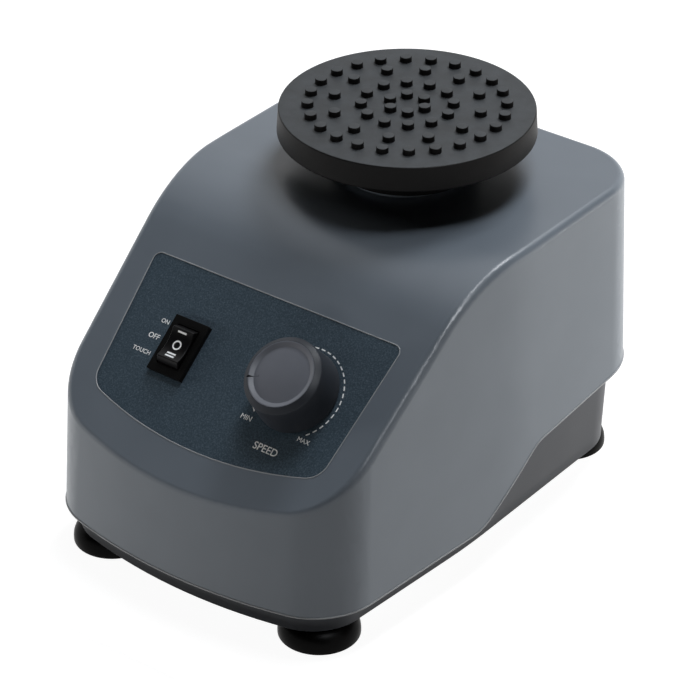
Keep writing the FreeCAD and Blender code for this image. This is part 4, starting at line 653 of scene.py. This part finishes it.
# %% [markdown]
# ## The platform
# A thick rubber disc with four rings of short pegs that grip the foot of a tube. The disc is spun
# from its outline. The pegs repeat by rule, a count on a radius, so a tree places each ring. Faces
# that look straight up are painted paler, partly as dust and partly as painted light from above.

# %% Disc
PEG_HEIGHT = 2.0
RIM_DRAFT = 0.3
SPIGOT_RADIUS = 22.05
SPIGOT_RISE = 3.35
DISC_STEPS = 256
TOP_LIGHT_UPWARD = 0.9

low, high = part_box("platform")
disc_radius = (high.x - low.x) / 2 / MM
disc_bottom = low.z / MM
disc_top = high.z / MM - PEG_HEIGHT
platform_axis = Matrix.Translation(((low.x + high.x) / 2, (low.y + high.y) / 2, 0))
disc_outline = (
    (0, disc_bottom + SPIGOT_RISE, 0),
    (SPIGOT_RADIUS, disc_bottom + SPIGOT_RISE, 0),
    (SPIGOT_RADIUS, disc_bottom, 0.3),
    (disc_radius + RIM_DRAFT, disc_bottom, 0.7),
    (disc_radius - RIM_DRAFT, disc_top, 0.6),
    (0, disc_top, 0),
)


def paint_top_light_and_dust(made):
    """Paints the faces that tubes stand on paler, as dust and as painted light from above, and counts them.
    """
    made.data.materials.append(dust_and_top_light_rubber)
    # Painted light: faces that look up take the paler grey, as if lit from above.
    lit_and_dusty = [face for face in made.data.polygons if face.normal.z > TOP_LIGHT_UPWARD]
    for face in lit_and_dusty:
        face.material_index = 1
    return len(lit_and_dusty)


disc_mesh = smoothed(turned("platform_disc", disc_outline, platform_axis, DISC_STEPS))
disc = piece("platform_disc", disc_mesh, finish["platform_rubber"])
print("worn faces:", paint_top_light_and_dust(disc))
stands_for(disc, "head", "platform")

# %% Pegs
PEG_RADIUS = 2.1
PEG_SUNK = 0.3
PEG_FLARE = 0.4
PEG_FILLET = 0.05
PEG_STEPS = 24
PEG_TURN = -52.6
# Each ring of pegs with its radius, its count and its own turn in degrees.
PEG_RINGS = ((34.5, 24, 0), (26.0, 12, 15), (16.0, 12, 0), (6.8, 6, 0))
PEG_OUTLINE = (
    (0, -PEG_SUNK, 0),
    (PEG_RADIUS + PEG_FLARE, -PEG_SUNK, 0),
    (PEG_RADIUS + PEG_FILLET, PEG_FILLET, 0.25),
    (PEG_RADIUS, PEG_HEIGHT, 0.28),
    (0, PEG_HEIGHT, 0),
)

peg_mesh = smoothed(turned("peg", PEG_OUTLINE, Matrix.Identity(4), PEG_STEPS))
peg_places = []
for ring_radius, count, turn in PEG_RINGS:
    for step in range(count):
        bearing = math.radians(PEG_TURN + turn + 360 * step / count)
        spot = Vector((ring_radius * math.cos(bearing), ring_radius * math.sin(bearing), disc_top)) * MM
        peg_places.append(platform_axis @ spot)
pegs = on_points("platform_pegs", peg_places, peg_mesh, finish["platform_rubber"])
paint_top_light_and_dust(pegs)
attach(pegs, "head")
print("pegs:", len(peg_places))

# %% [markdown]
# ## The head under the platform
# A black holder with a skirt hides the bearing and keeps drips out of the housing. Its copy gets a
# small round on the skirt's lip, which glints under the platform.

# %% Head holder
SKIRT_EDGE = 0.5 * MM
holder = softened("head_holder", "head_skirt", SKIRT_EDGE)
stands_for(holder, "head", "head_holder")

# %% [markdown]
# ## The lift springs
# Coil springs inside the housing carry the motor. When the platform is pressed they shorten, so a rigid
# copy would run into the plate above it. A spring could be cut into parts that slide past each other, but
# a real one closes evenly. Here the coil is a smooth-shaded copy of its solid that rides on the housing.

# %% The springs
low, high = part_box("lift_springs")
springs = piece("lift_coils", smoothed(nodes["lift_springs"].data.copy()), finish["steel"])
stands_for(springs, "housing", "lift_springs")
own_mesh(springs)

# %% [markdown]
# ## The rocker switch
# A black bezel frames a dished rocker with three marks. Both are copies of their solids with eased
# edges. The marks are ink, so they have to follow the dish: each point of a flat mark is dropped
# straight onto the rocker, and the mark gets a hair's thickness.

# %% Bezel and rocker
SWITCH_EDGE = 0.45 * MM
bezel = softened("switch_body", "switch_bezel", SWITCH_EDGE)
stands_for(bezel, "housing", "switch_body")
rocker = softened("rocker", "rocker_cap", SWITCH_EDGE)
stands_for(rocker, "rocker", "rocker")

# %% Ink that lies on a surface
INK_PROUD = 0.02 * MM
INK_SUNK = 0.06 * MM
DROP_FROM = 20 * MM


def printed(name, flat, frame_of_print, onto):
    """A flat mesh in a slope frame as a film of ink, dropped onto a piece."""
    shape = bmesh.new()
    shape.from_mesh(flat)
    bmesh.ops.remove_doubles(shape, verts=shape.verts, dist=JOIN_WITHIN)
    bmesh.ops.recalc_face_normals(shape, faces=shape.faces)
    bmesh.ops.transform(shape, matrix=frame_of_print, verts=shape.verts)
    outward = frame_of_print.to_3x3().col[2]
    tree = BVHTree.FromObject(onto, bpy.context.evaluated_depsgraph_get())
    for vert in shape.verts:
        vert.co = tree.ray_cast(vert.co + outward * DROP_FROM, -outward)[0]
    sides = bmesh.ops.extrude_face_region(shape, geom=shape.faces[:])
    raised = [item for item in sides["geom"] if isinstance(item, bmesh.types.BMVert)]
    base = [vert for vert in shape.verts if vert not in set(raised)]
    bmesh.ops.translate(shape, vec=outward * INK_PROUD, verts=raised)
    bmesh.ops.translate(shape, vec=-outward * INK_SUNK, verts=base)
    bmesh.ops.recalc_face_normals(shape, faces=shape.faces)
    return piece(name, mesh_from(name, shape), ink)


# %% Marks on the rocker
def bar(width, length, middle, steps=4):
    """A flat bar across the rocker, cut into strips so that it can bend."""
    points = []
    faces = []
    for step in range(steps + 1):
        y = (middle + length * (step / steps - 0.5)) * MM
        points += [(-width / 2 * MM, y, 0), (width / 2 * MM, y, 0)]
        if step:
            first = 2 * step - 2
            faces.append((first, first + 1, first + 3, first + 2))
    return points, faces


def ring(outer, inner, middle, steps=48):
    points = []
    faces = []
    for step in range(steps):
        angle = math.tau * step / steps
        for radius in (outer, inner):
            points.append((radius * math.cos(angle) * MM, (middle + radius * math.sin(angle)) * MM, 0))
        following = 2 * ((step + 1) % steps)
        faces.append((2 * step, following, following + 1, 2 * step + 1))
    return points, faces


MARK_WIDTH = 3.7
MARK_STROKE = 0.62
ZERO_OUTER = 1.75
ZERO_INNER = 1.2
ROCKER_MARKS = (
    ("mark_one", bar(MARK_WIDTH, MARK_STROKE, 4.7)),
    ("mark_zero", ring(ZERO_OUTER, ZERO_INNER, 0.15)),
    ("mark_two_upper", bar(MARK_WIDTH, MARK_STROKE, -3.3)),
    ("mark_two_lower", bar(MARK_WIDTH, MARK_STROKE, -4.4)),
)
for name, (points, faces) in ROCKER_MARKS:
    flat = bpy.data.meshes.new(name)
    flat.from_pydata(points, [], faces)
    mark = printed(name, flat, switch_frame, rocker)
    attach(mark, "rocker")
print("rocker marks:", len(ROCKER_MARKS))

# %% [markdown]
# ## Words on the film
# Plain words tell what the switch and the knob do. A text object gives the letters. Their strokes would
# print too thin, so a small bevel swells each outline. The letters become a mesh while they lie flat,
# sized to a measured width, and half of their hair's thickness stands proud of the film.

# %% Lettering
# Each word with its middle across and up the slope, and its width.
DIAL_WORDS = (("SPEED", -0.35, -22.1, 9.8), ("MIN", -13.05, -14.7, 4.3), ("MAX", 11.05, -14.6, 4.9))
SWITCH_WORDS = (("ON", -11.1, 7.1, 3.3), ("OFF", -12.2, 0.9, 4.6), ("TOUCH", -13.9, -5.3, 7.6))
LETTER_SWELL = 0.01
LETTER_STEPS = 4


def lettering(word, x, y, width):
    """A word of a width about a middle, in millimetres, as a thin closed mesh."""
    text = bpy.data.curves.new(word, "FONT")
    text.body = word
    text.resolution_u = LETTER_STEPS
    text.bevel_depth = LETTER_SWELL
    text.bevel_resolution = 0
    written = bpy.data.objects.new(word, text)
    scene.collection.objects.link(written)
    view = bpy.context.evaluated_depsgraph_get()
    flat = bpy.data.meshes.new_from_object(written.evaluated_get(view))
    bpy.data.objects.remove(written)
    across = [v.co.x for v in flat.vertices]
    upward = [v.co.y for v in flat.vertices]
    size = width * MM / (max(across) - min(across))
    middle = Vector(((max(across) + min(across)) / 2, (max(upward) + min(upward)) / 2, 0))
    spot = Matrix.Translation((x * MM, y * MM, FILM_LEVEL))
    shrink = Matrix.Diagonal((size, size, INK_PROUD / LETTER_SWELL, 1))
    shape = bmesh.new()
    shape.from_mesh(flat)
    bmesh.ops.transform(shape, matrix=spot @ shrink @ Matrix.Translation(-middle), verts=shape.verts)
    bmesh.ops.remove_doubles(shape, verts=shape.verts, dist=JOIN_WITHIN)
    bmesh.ops.recalc_face_normals(shape, faces=shape.faces)
    return shape


for words, frame_of_words in ((DIAL_WORDS, dial_frame), (SWITCH_WORDS, switch_frame)):
    for word, x, y, width in words:
        letters = lettering(word, x, y, width)
        bmesh.ops.transform(letters, matrix=frame_of_words, verts=letters.verts)
        name = "word_" + word.lower()
        made = piece(name, mesh_from(name, letters), ink)
        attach(made, "housing")
print("words:", len(DIAL_WORDS) + len(SWITCH_WORDS))

# %% [markdown]
# ## Dashes round the dial
# A broken circle runs clockwise round the knob from the lowest speed to the highest. The dashes follow an
# arc, so a tree draws the arc, puts a dash on each of its points and turns it along the arc.

# %% Dial dashes
DASH_CIRCLE = 16.48
DASH_START = -47.0
DASH_SWEEP = 270.0
DASH_COUNT = 31
DASH_LENGTH = 1.55
DASH_WIDTH = 0.46
ARC_POINTS = 256


def dash_tree():
    sizes = dict.fromkeys(("Radius", "Start", "Sweep", "Length", "Width", "Thickness"), "Float")
    sockets = {"Geometry": "Geometry", **sizes, "Count": "Int", "Finish": "Material"}
    tree, given = new_tree("dashes_on_arc", sockets)
    arc = add_node(tree, "GeometryNodeCurveArc", {"Resolution": ARC_POINTS})
    points = add_node(tree, "GeometryNodeCurveToPoints", mode="COUNT")
    along = add_node(tree, "FunctionNodeAlignRotationToVector", axis="X")
    size = tree.nodes.new("ShaderNodeCombineXYZ")
    dash = tree.nodes.new("GeometryNodeMeshCube")
    wire(tree,
         (given.outputs["Radius"], arc.inputs["Radius"]),
         (given.outputs["Start"], arc.inputs["Start Angle"]),
         (given.outputs["Sweep"], arc.inputs["Sweep Angle"]),
         (arc.outputs["Curve"], points.inputs["Curve"]),
         (given.outputs["Count"], points.inputs["Count"]),
         (points.outputs["Tangent"], along.inputs["Vector"]),
         (given.outputs["Length"], size.inputs["X"]),
         (given.outputs["Width"], size.inputs["Y"]),
         (given.outputs["Thickness"], size.inputs["Z"]),
         (size.outputs["Vector"], dash.inputs["Size"]))
    hand_on_copies(tree, given, points.outputs["Points"], dash.outputs["Mesh"], along.outputs["Rotation"])
    return tree


dashes = piece("dial_dashes", bpy.data.meshes.new("dial_dashes"), ink)
dash_modifier = dashes.modifiers.new("dashes", "NODES")
dash_modifier.node_group = dash_tree()
set_inputs(dash_modifier, Radius=DASH_CIRCLE * MM, Start=math.radians(DASH_START),
           Sweep=math.radians(DASH_SWEEP), Count=DASH_COUNT, Length=DASH_LENGTH * MM, Width=DASH_WIDTH * MM,
           Thickness=INK_PROUD + INK_SUNK, Finish=ink)
applied(dashes)
ink_middle = FILM_LEVEL + (INK_PROUD - INK_SUNK) / 2
dashes.data.transform(dial_frame @ Matrix.Translation((0, 0, ink_middle)))
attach(dashes, "housing")
print("dashes:", DASH_COUNT, "faces:", len(dashes.data.polygons))

# %% [markdown]
# ## The speed knob
# A wide knob with a soft grip, painted dark as shade on its sides, and a cap painted paler as light from
# above: a raised ring round a gently crowned middle, with a notch that points at the dial. It is spun from
# its outline, and a small wedge is cut from the ring for the notch.

# %% Knob with its pointer notch
KNOB_BASE = 0.6
KNOB_TOP = 14.75
KNOB_FOOT = 15.2
KNOB_SHOULDER = 14.0
SHOULDER_LEVEL = 13.3
RING_OUTER = 12.0
RING_INNER = 11.6
KNOB_BORE = 3.05
KNOB_BORE_END = 12.05
KNOB_HOLLOW = 9.0
KNOB_HOLLOW_END = 4.5
KNOB_MIDDLE = 10.1
KNOB_DISH = 13.95
KNOB_CROWN = 0.75
KNOB_STEPS = 192
KNOB_SHARP_OVER = 30
CROWN_SHARES = (0.9, 0.75, 0.6, 0.45, 0.3, 0.15, 0)
CAP_LEVEL = 13.0
CAP_RADIUS = 11.8
KNOB_OUTLINE = (
    (0, KNOB_BORE_END, 0),
    (KNOB_BORE, KNOB_BORE_END, 0),
    (KNOB_BORE, KNOB_HOLLOW_END, 0),
    (KNOB_HOLLOW, KNOB_HOLLOW_END, 0),
    (KNOB_HOLLOW, KNOB_BASE, 0.2),
    (KNOB_FOOT, KNOB_BASE, 0.35),
    (KNOB_SHOULDER, SHOULDER_LEVEL, 0.7),
    (RING_OUTER, KNOB_TOP, 0.25),
    (RING_INNER, KNOB_TOP, 0.2),
    (KNOB_MIDDLE, KNOB_DISH, 0.4),
    *((share * KNOB_MIDDLE, KNOB_DISH + KNOB_CROWN * (1 - share ** 2), 0) for share in CROWN_SHARES),
)
NOTCH_BEARING = 204.0
NOTCH_WIDTH = 1.5
NOTCH_INNER = 8.0
NOTCH_OUTER = 12.6
NOTCH_TIP = 14.0
NOTCH_FLOOR = 13.55
NOTCH_TOP = 16.0

knob_mesh = turned("speed_knob", KNOB_OUTLINE, Matrix.Identity(4), KNOB_STEPS)
knob = piece("speed_knob", knob_mesh, finish["knob_grey"])


def notch_cutter():
    """A wedge that is deepest along its middle, pointing at the knob's axis."""
    half = NOTCH_WIDTH / 2
    points = [
        (NOTCH_INNER, 0, NOTCH_TIP), (NOTCH_OUTER, -half, NOTCH_TOP), (NOTCH_OUTER, half, NOTCH_TOP),
        (NOTCH_OUTER, 0, NOTCH_FLOOR), (NOTCH_INNER, -half, NOTCH_TOP), (NOTCH_INNER, half, NOTCH_TOP),
    ]
    shape = bmesh.new()
    for x, y, z in points:
        shape.verts.new((x * MM, y * MM, z * MM))
    bmesh.ops.convex_hull(shape, input=shape.verts)
    bmesh.ops.recalc_face_normals(shape, faces=shape.faces)
    return mesh_from("notch_cutter", shape)


cutter = piece("notch_cutter", notch_cutter(), finish["knob_grey"])
cutter.data.transform(Matrix.Rotation(math.radians(NOTCH_BEARING), 4, "Z"))
cut = knob.modifiers.new("notch", "BOOLEAN")
cut.operation = "DIFFERENCE"
cut.solver = "EXACT"
cut.object = cutter
applied(knob)
bpy.data.objects.remove(cutter)
# Painted light and shade: the upward cap faces take the paler grey, the rest the darker grip grey.
knob.data.materials.append(lit_cap_grey)
for face in knob.data.polygons:
    inside = face.center.xy.length < CAP_RADIUS * MM
    face.material_index = int(inside and face.center.z > CAP_LEVEL * MM)
knob.data.transform(dial_frame)
smoothed(knob.data, KNOB_SHARP_OVER)
stands_for(knob, "knob", "knob")

# %% [markdown]
# ## The studio
# The mixer stands on a white sweep. Light falls on it from above and behind, and comes at its walls from
# table height, while the camera's own side stays dark. So three soft lamps hang above, a little cool,
# and three low ones stand round it, a little warm. One more lamp above lights nothing and is only
# mirrored, as the glint where the round edge bends. Black cards on the camera's side and at the right
# rear give the round edges something dark to mirror, and low black flags keep the low lamps off the
# mixer's foot. The camera sees neither cards nor flags. The floor and the world show themselves white
# by a glow of their own that lights nothing, and the floor still takes a shadow.

# %% Paper that glows and black card
FLOOR_PAPER = 0.3
FLOOR_GLOW = 0.95
CARD_BLACK = (0.015, 0.015, 0.015, 1)


def shown_directly(tree):
    """1 for rays that show a surface as it is: from the camera, or by mirror and glass."""
    path = add_node(tree, "ShaderNodeLightPath")
    shown = path.outputs["Is Camera Ray"]
    for ray in ("Is Glossy Ray", "Is Transmission Ray"):
        either = add_node(tree, "ShaderNodeMath", operation="MAXIMUM")
        wire(tree, (shown, either.inputs[0]), (path.outputs[ray], either.inputs[1]))
        shown = either.outputs[0]
    return shown


def scaled(tree, value, low, high):
    node = add_node(tree, "ShaderNodeMapRange", {"To Min": low, "To Max": high})
    wire(tree, (value, node.inputs["Value"]))
    return node.outputs["Result"]


def white_sweep():
    material = bpy.data.materials.new("white_sweep")
    material.use_nodes = True
    tree = material.node_tree
    tree.nodes.remove(tree.nodes["Principled BSDF"])
    paper = add_node(tree, "ShaderNodeBsdfDiffuse", {"Color": (FLOOR_PAPER, FLOOR_PAPER, FLOOR_PAPER, 1)})
    glow = add_node(tree, "ShaderNodeEmission")
    both = add_node(tree, "ShaderNodeAddShader")
    wire(tree,
         (scaled(tree, shown_directly(tree), 0, FLOOR_GLOW), glow.inputs["Strength"]),
         (paper.outputs[0], both.inputs[0]),
         (glow.outputs[0], both.inputs[1]),
         (both.outputs[0], tree.nodes["Material Output"].inputs["Surface"]))
    return material


def black_card():
    material = bpy.data.materials.new("black_card")
    material.use_nodes = True
    board = material.node_tree.nodes["Principled BSDF"]
    board.inputs["Base Color"].default_value = CARD_BLACK
    board.inputs["Specular IOR Level"].default_value = 0.0
    board.inputs["Roughness"].default_value = 1.0
    return material


# %% Floor, cards and flags
FLOOR_SIZE = 8.0
CARDS = (
    ("front_card", [(-1.5, -1.05, 0.42), (1.5, -1.05, 0.42), (1.5, -0.15, 1.6), (-1.5, -0.15, 1.6)]),
    ("side_card", [(1.4, 0.4, 0.35), (0.55, 1.2, 0.35), (0.45, 1.0, 1.3), (1.15, 0.3, 1.3)]),
)
FLAG_BOTTOM = 0.004
FLAG_TOP = 0.013
FLAGS = (
    ("flag_front", (-0.095, -0.12), (0.095, -0.12)),
    ("flag_left", (-0.095, -0.12), (-0.095, 0.12)),
    ("flag_right", (0.095, -0.12), (0.095, 0.12)),
)


def sheet(name, corners, material):
    mesh = bpy.data.meshes.new(name)
    mesh.from_pydata(corners, [], [(0, 1, 2, 3)])
    made = piece(name, mesh, material)
    return made


half = FLOOR_SIZE / 2
sheet("floor", [(-half, -half, 0), (half, -half, 0), (half, half, 0), (-half, half, 0)], white_sweep())
board = black_card()
for name, corners in CARDS:
    card = sheet(name, corners, board)
    card.visible_camera = False
for name, (start_x, start_y), (end_x, end_y) in FLAGS:
    corners = [(start_x, start_y, FLAG_BOTTOM), (end_x, end_y, FLAG_BOTTOM),
               (end_x, end_y, FLAG_TOP), (start_x, start_y, FLAG_TOP)]
    flag = sheet(name, corners, board)
    flag.visible_camera = False
    flag.visible_glossy = False
print("cards:", len(CARDS), "flags:", len(FLAGS))

# %% World and lamps
WORLD_LIGHT = 0.0
WORLD_SHOWN = 1.0
MIDDLE = Vector((0, 0, 0.06))
COOL = (0.96, 1.0, 1.04)
WARM = (1.04, 1.0, 0.95)
# Each lamp with its place, width, height, watts and tint, and whether it lights and whether it is mirrored.
LAMPS = (
    ("rear_overhead", (0.0, 0.6, 1.05), 0.4, 0.3, 6.5, COOL, True, True),
    ("zenith", (0.1, 0.12, 1.2), 0.3, 0.3, 3.7, COOL, True, True),
    ("upper_left_rear", (-0.55, 0.5, 0.95), 0.7, 0.5, 0.5, COOL, True, True),
    ("right_glint", (0.6, -0.28, 1.14), 0.4, 0.4, 8.0, COOL, False, True),
    ("right_rear", (0.38, 0.55, 0.07), 0.3, 0.12, 4.8, WARM, True, False),
    ("left", (-0.9, -0.4, 0.06), 0.5, 0.1, 4.4, WARM, True, False),
    ("front", (0.25, -1.3, 0.06), 0.7, 0.1, 2.5, WARM, True, False),
)

world = bpy.data.worlds.new("studio")
world.use_nodes = True
scene.world = world
room_tree = world.node_tree
room = room_tree.nodes["Background"]
room.inputs["Color"].default_value = (1, 1, 1, 1)
strength = scaled(room_tree, shown_directly(room_tree), WORLD_LIGHT, WORLD_SHOWN)
wire(room_tree, (strength, room.inputs["Strength"]))


def softbox(name, place, width, height, watts, tint, lights, mirrored):
    data = bpy.data.lights.new(name, "AREA")
    data.shape = "RECTANGLE"
    data.size = width
    data.size_y = height
    data.energy = watts
    data.color = tint
    lamp = bpy.data.objects.new(name, data)
    lamp.location = place
    lamp.rotation_euler = (MIDDLE - Vector(place)).to_track_quat("-Z", "Y").to_euler()
    lamp.visible_diffuse = lights
    lamp.visible_glossy = mirrored
    scene.collection.objects.link(lamp)


for lamp in LAMPS:
    softbox(*lamp)
print("lamps:", [lamp[0] for lamp in LAMPS])
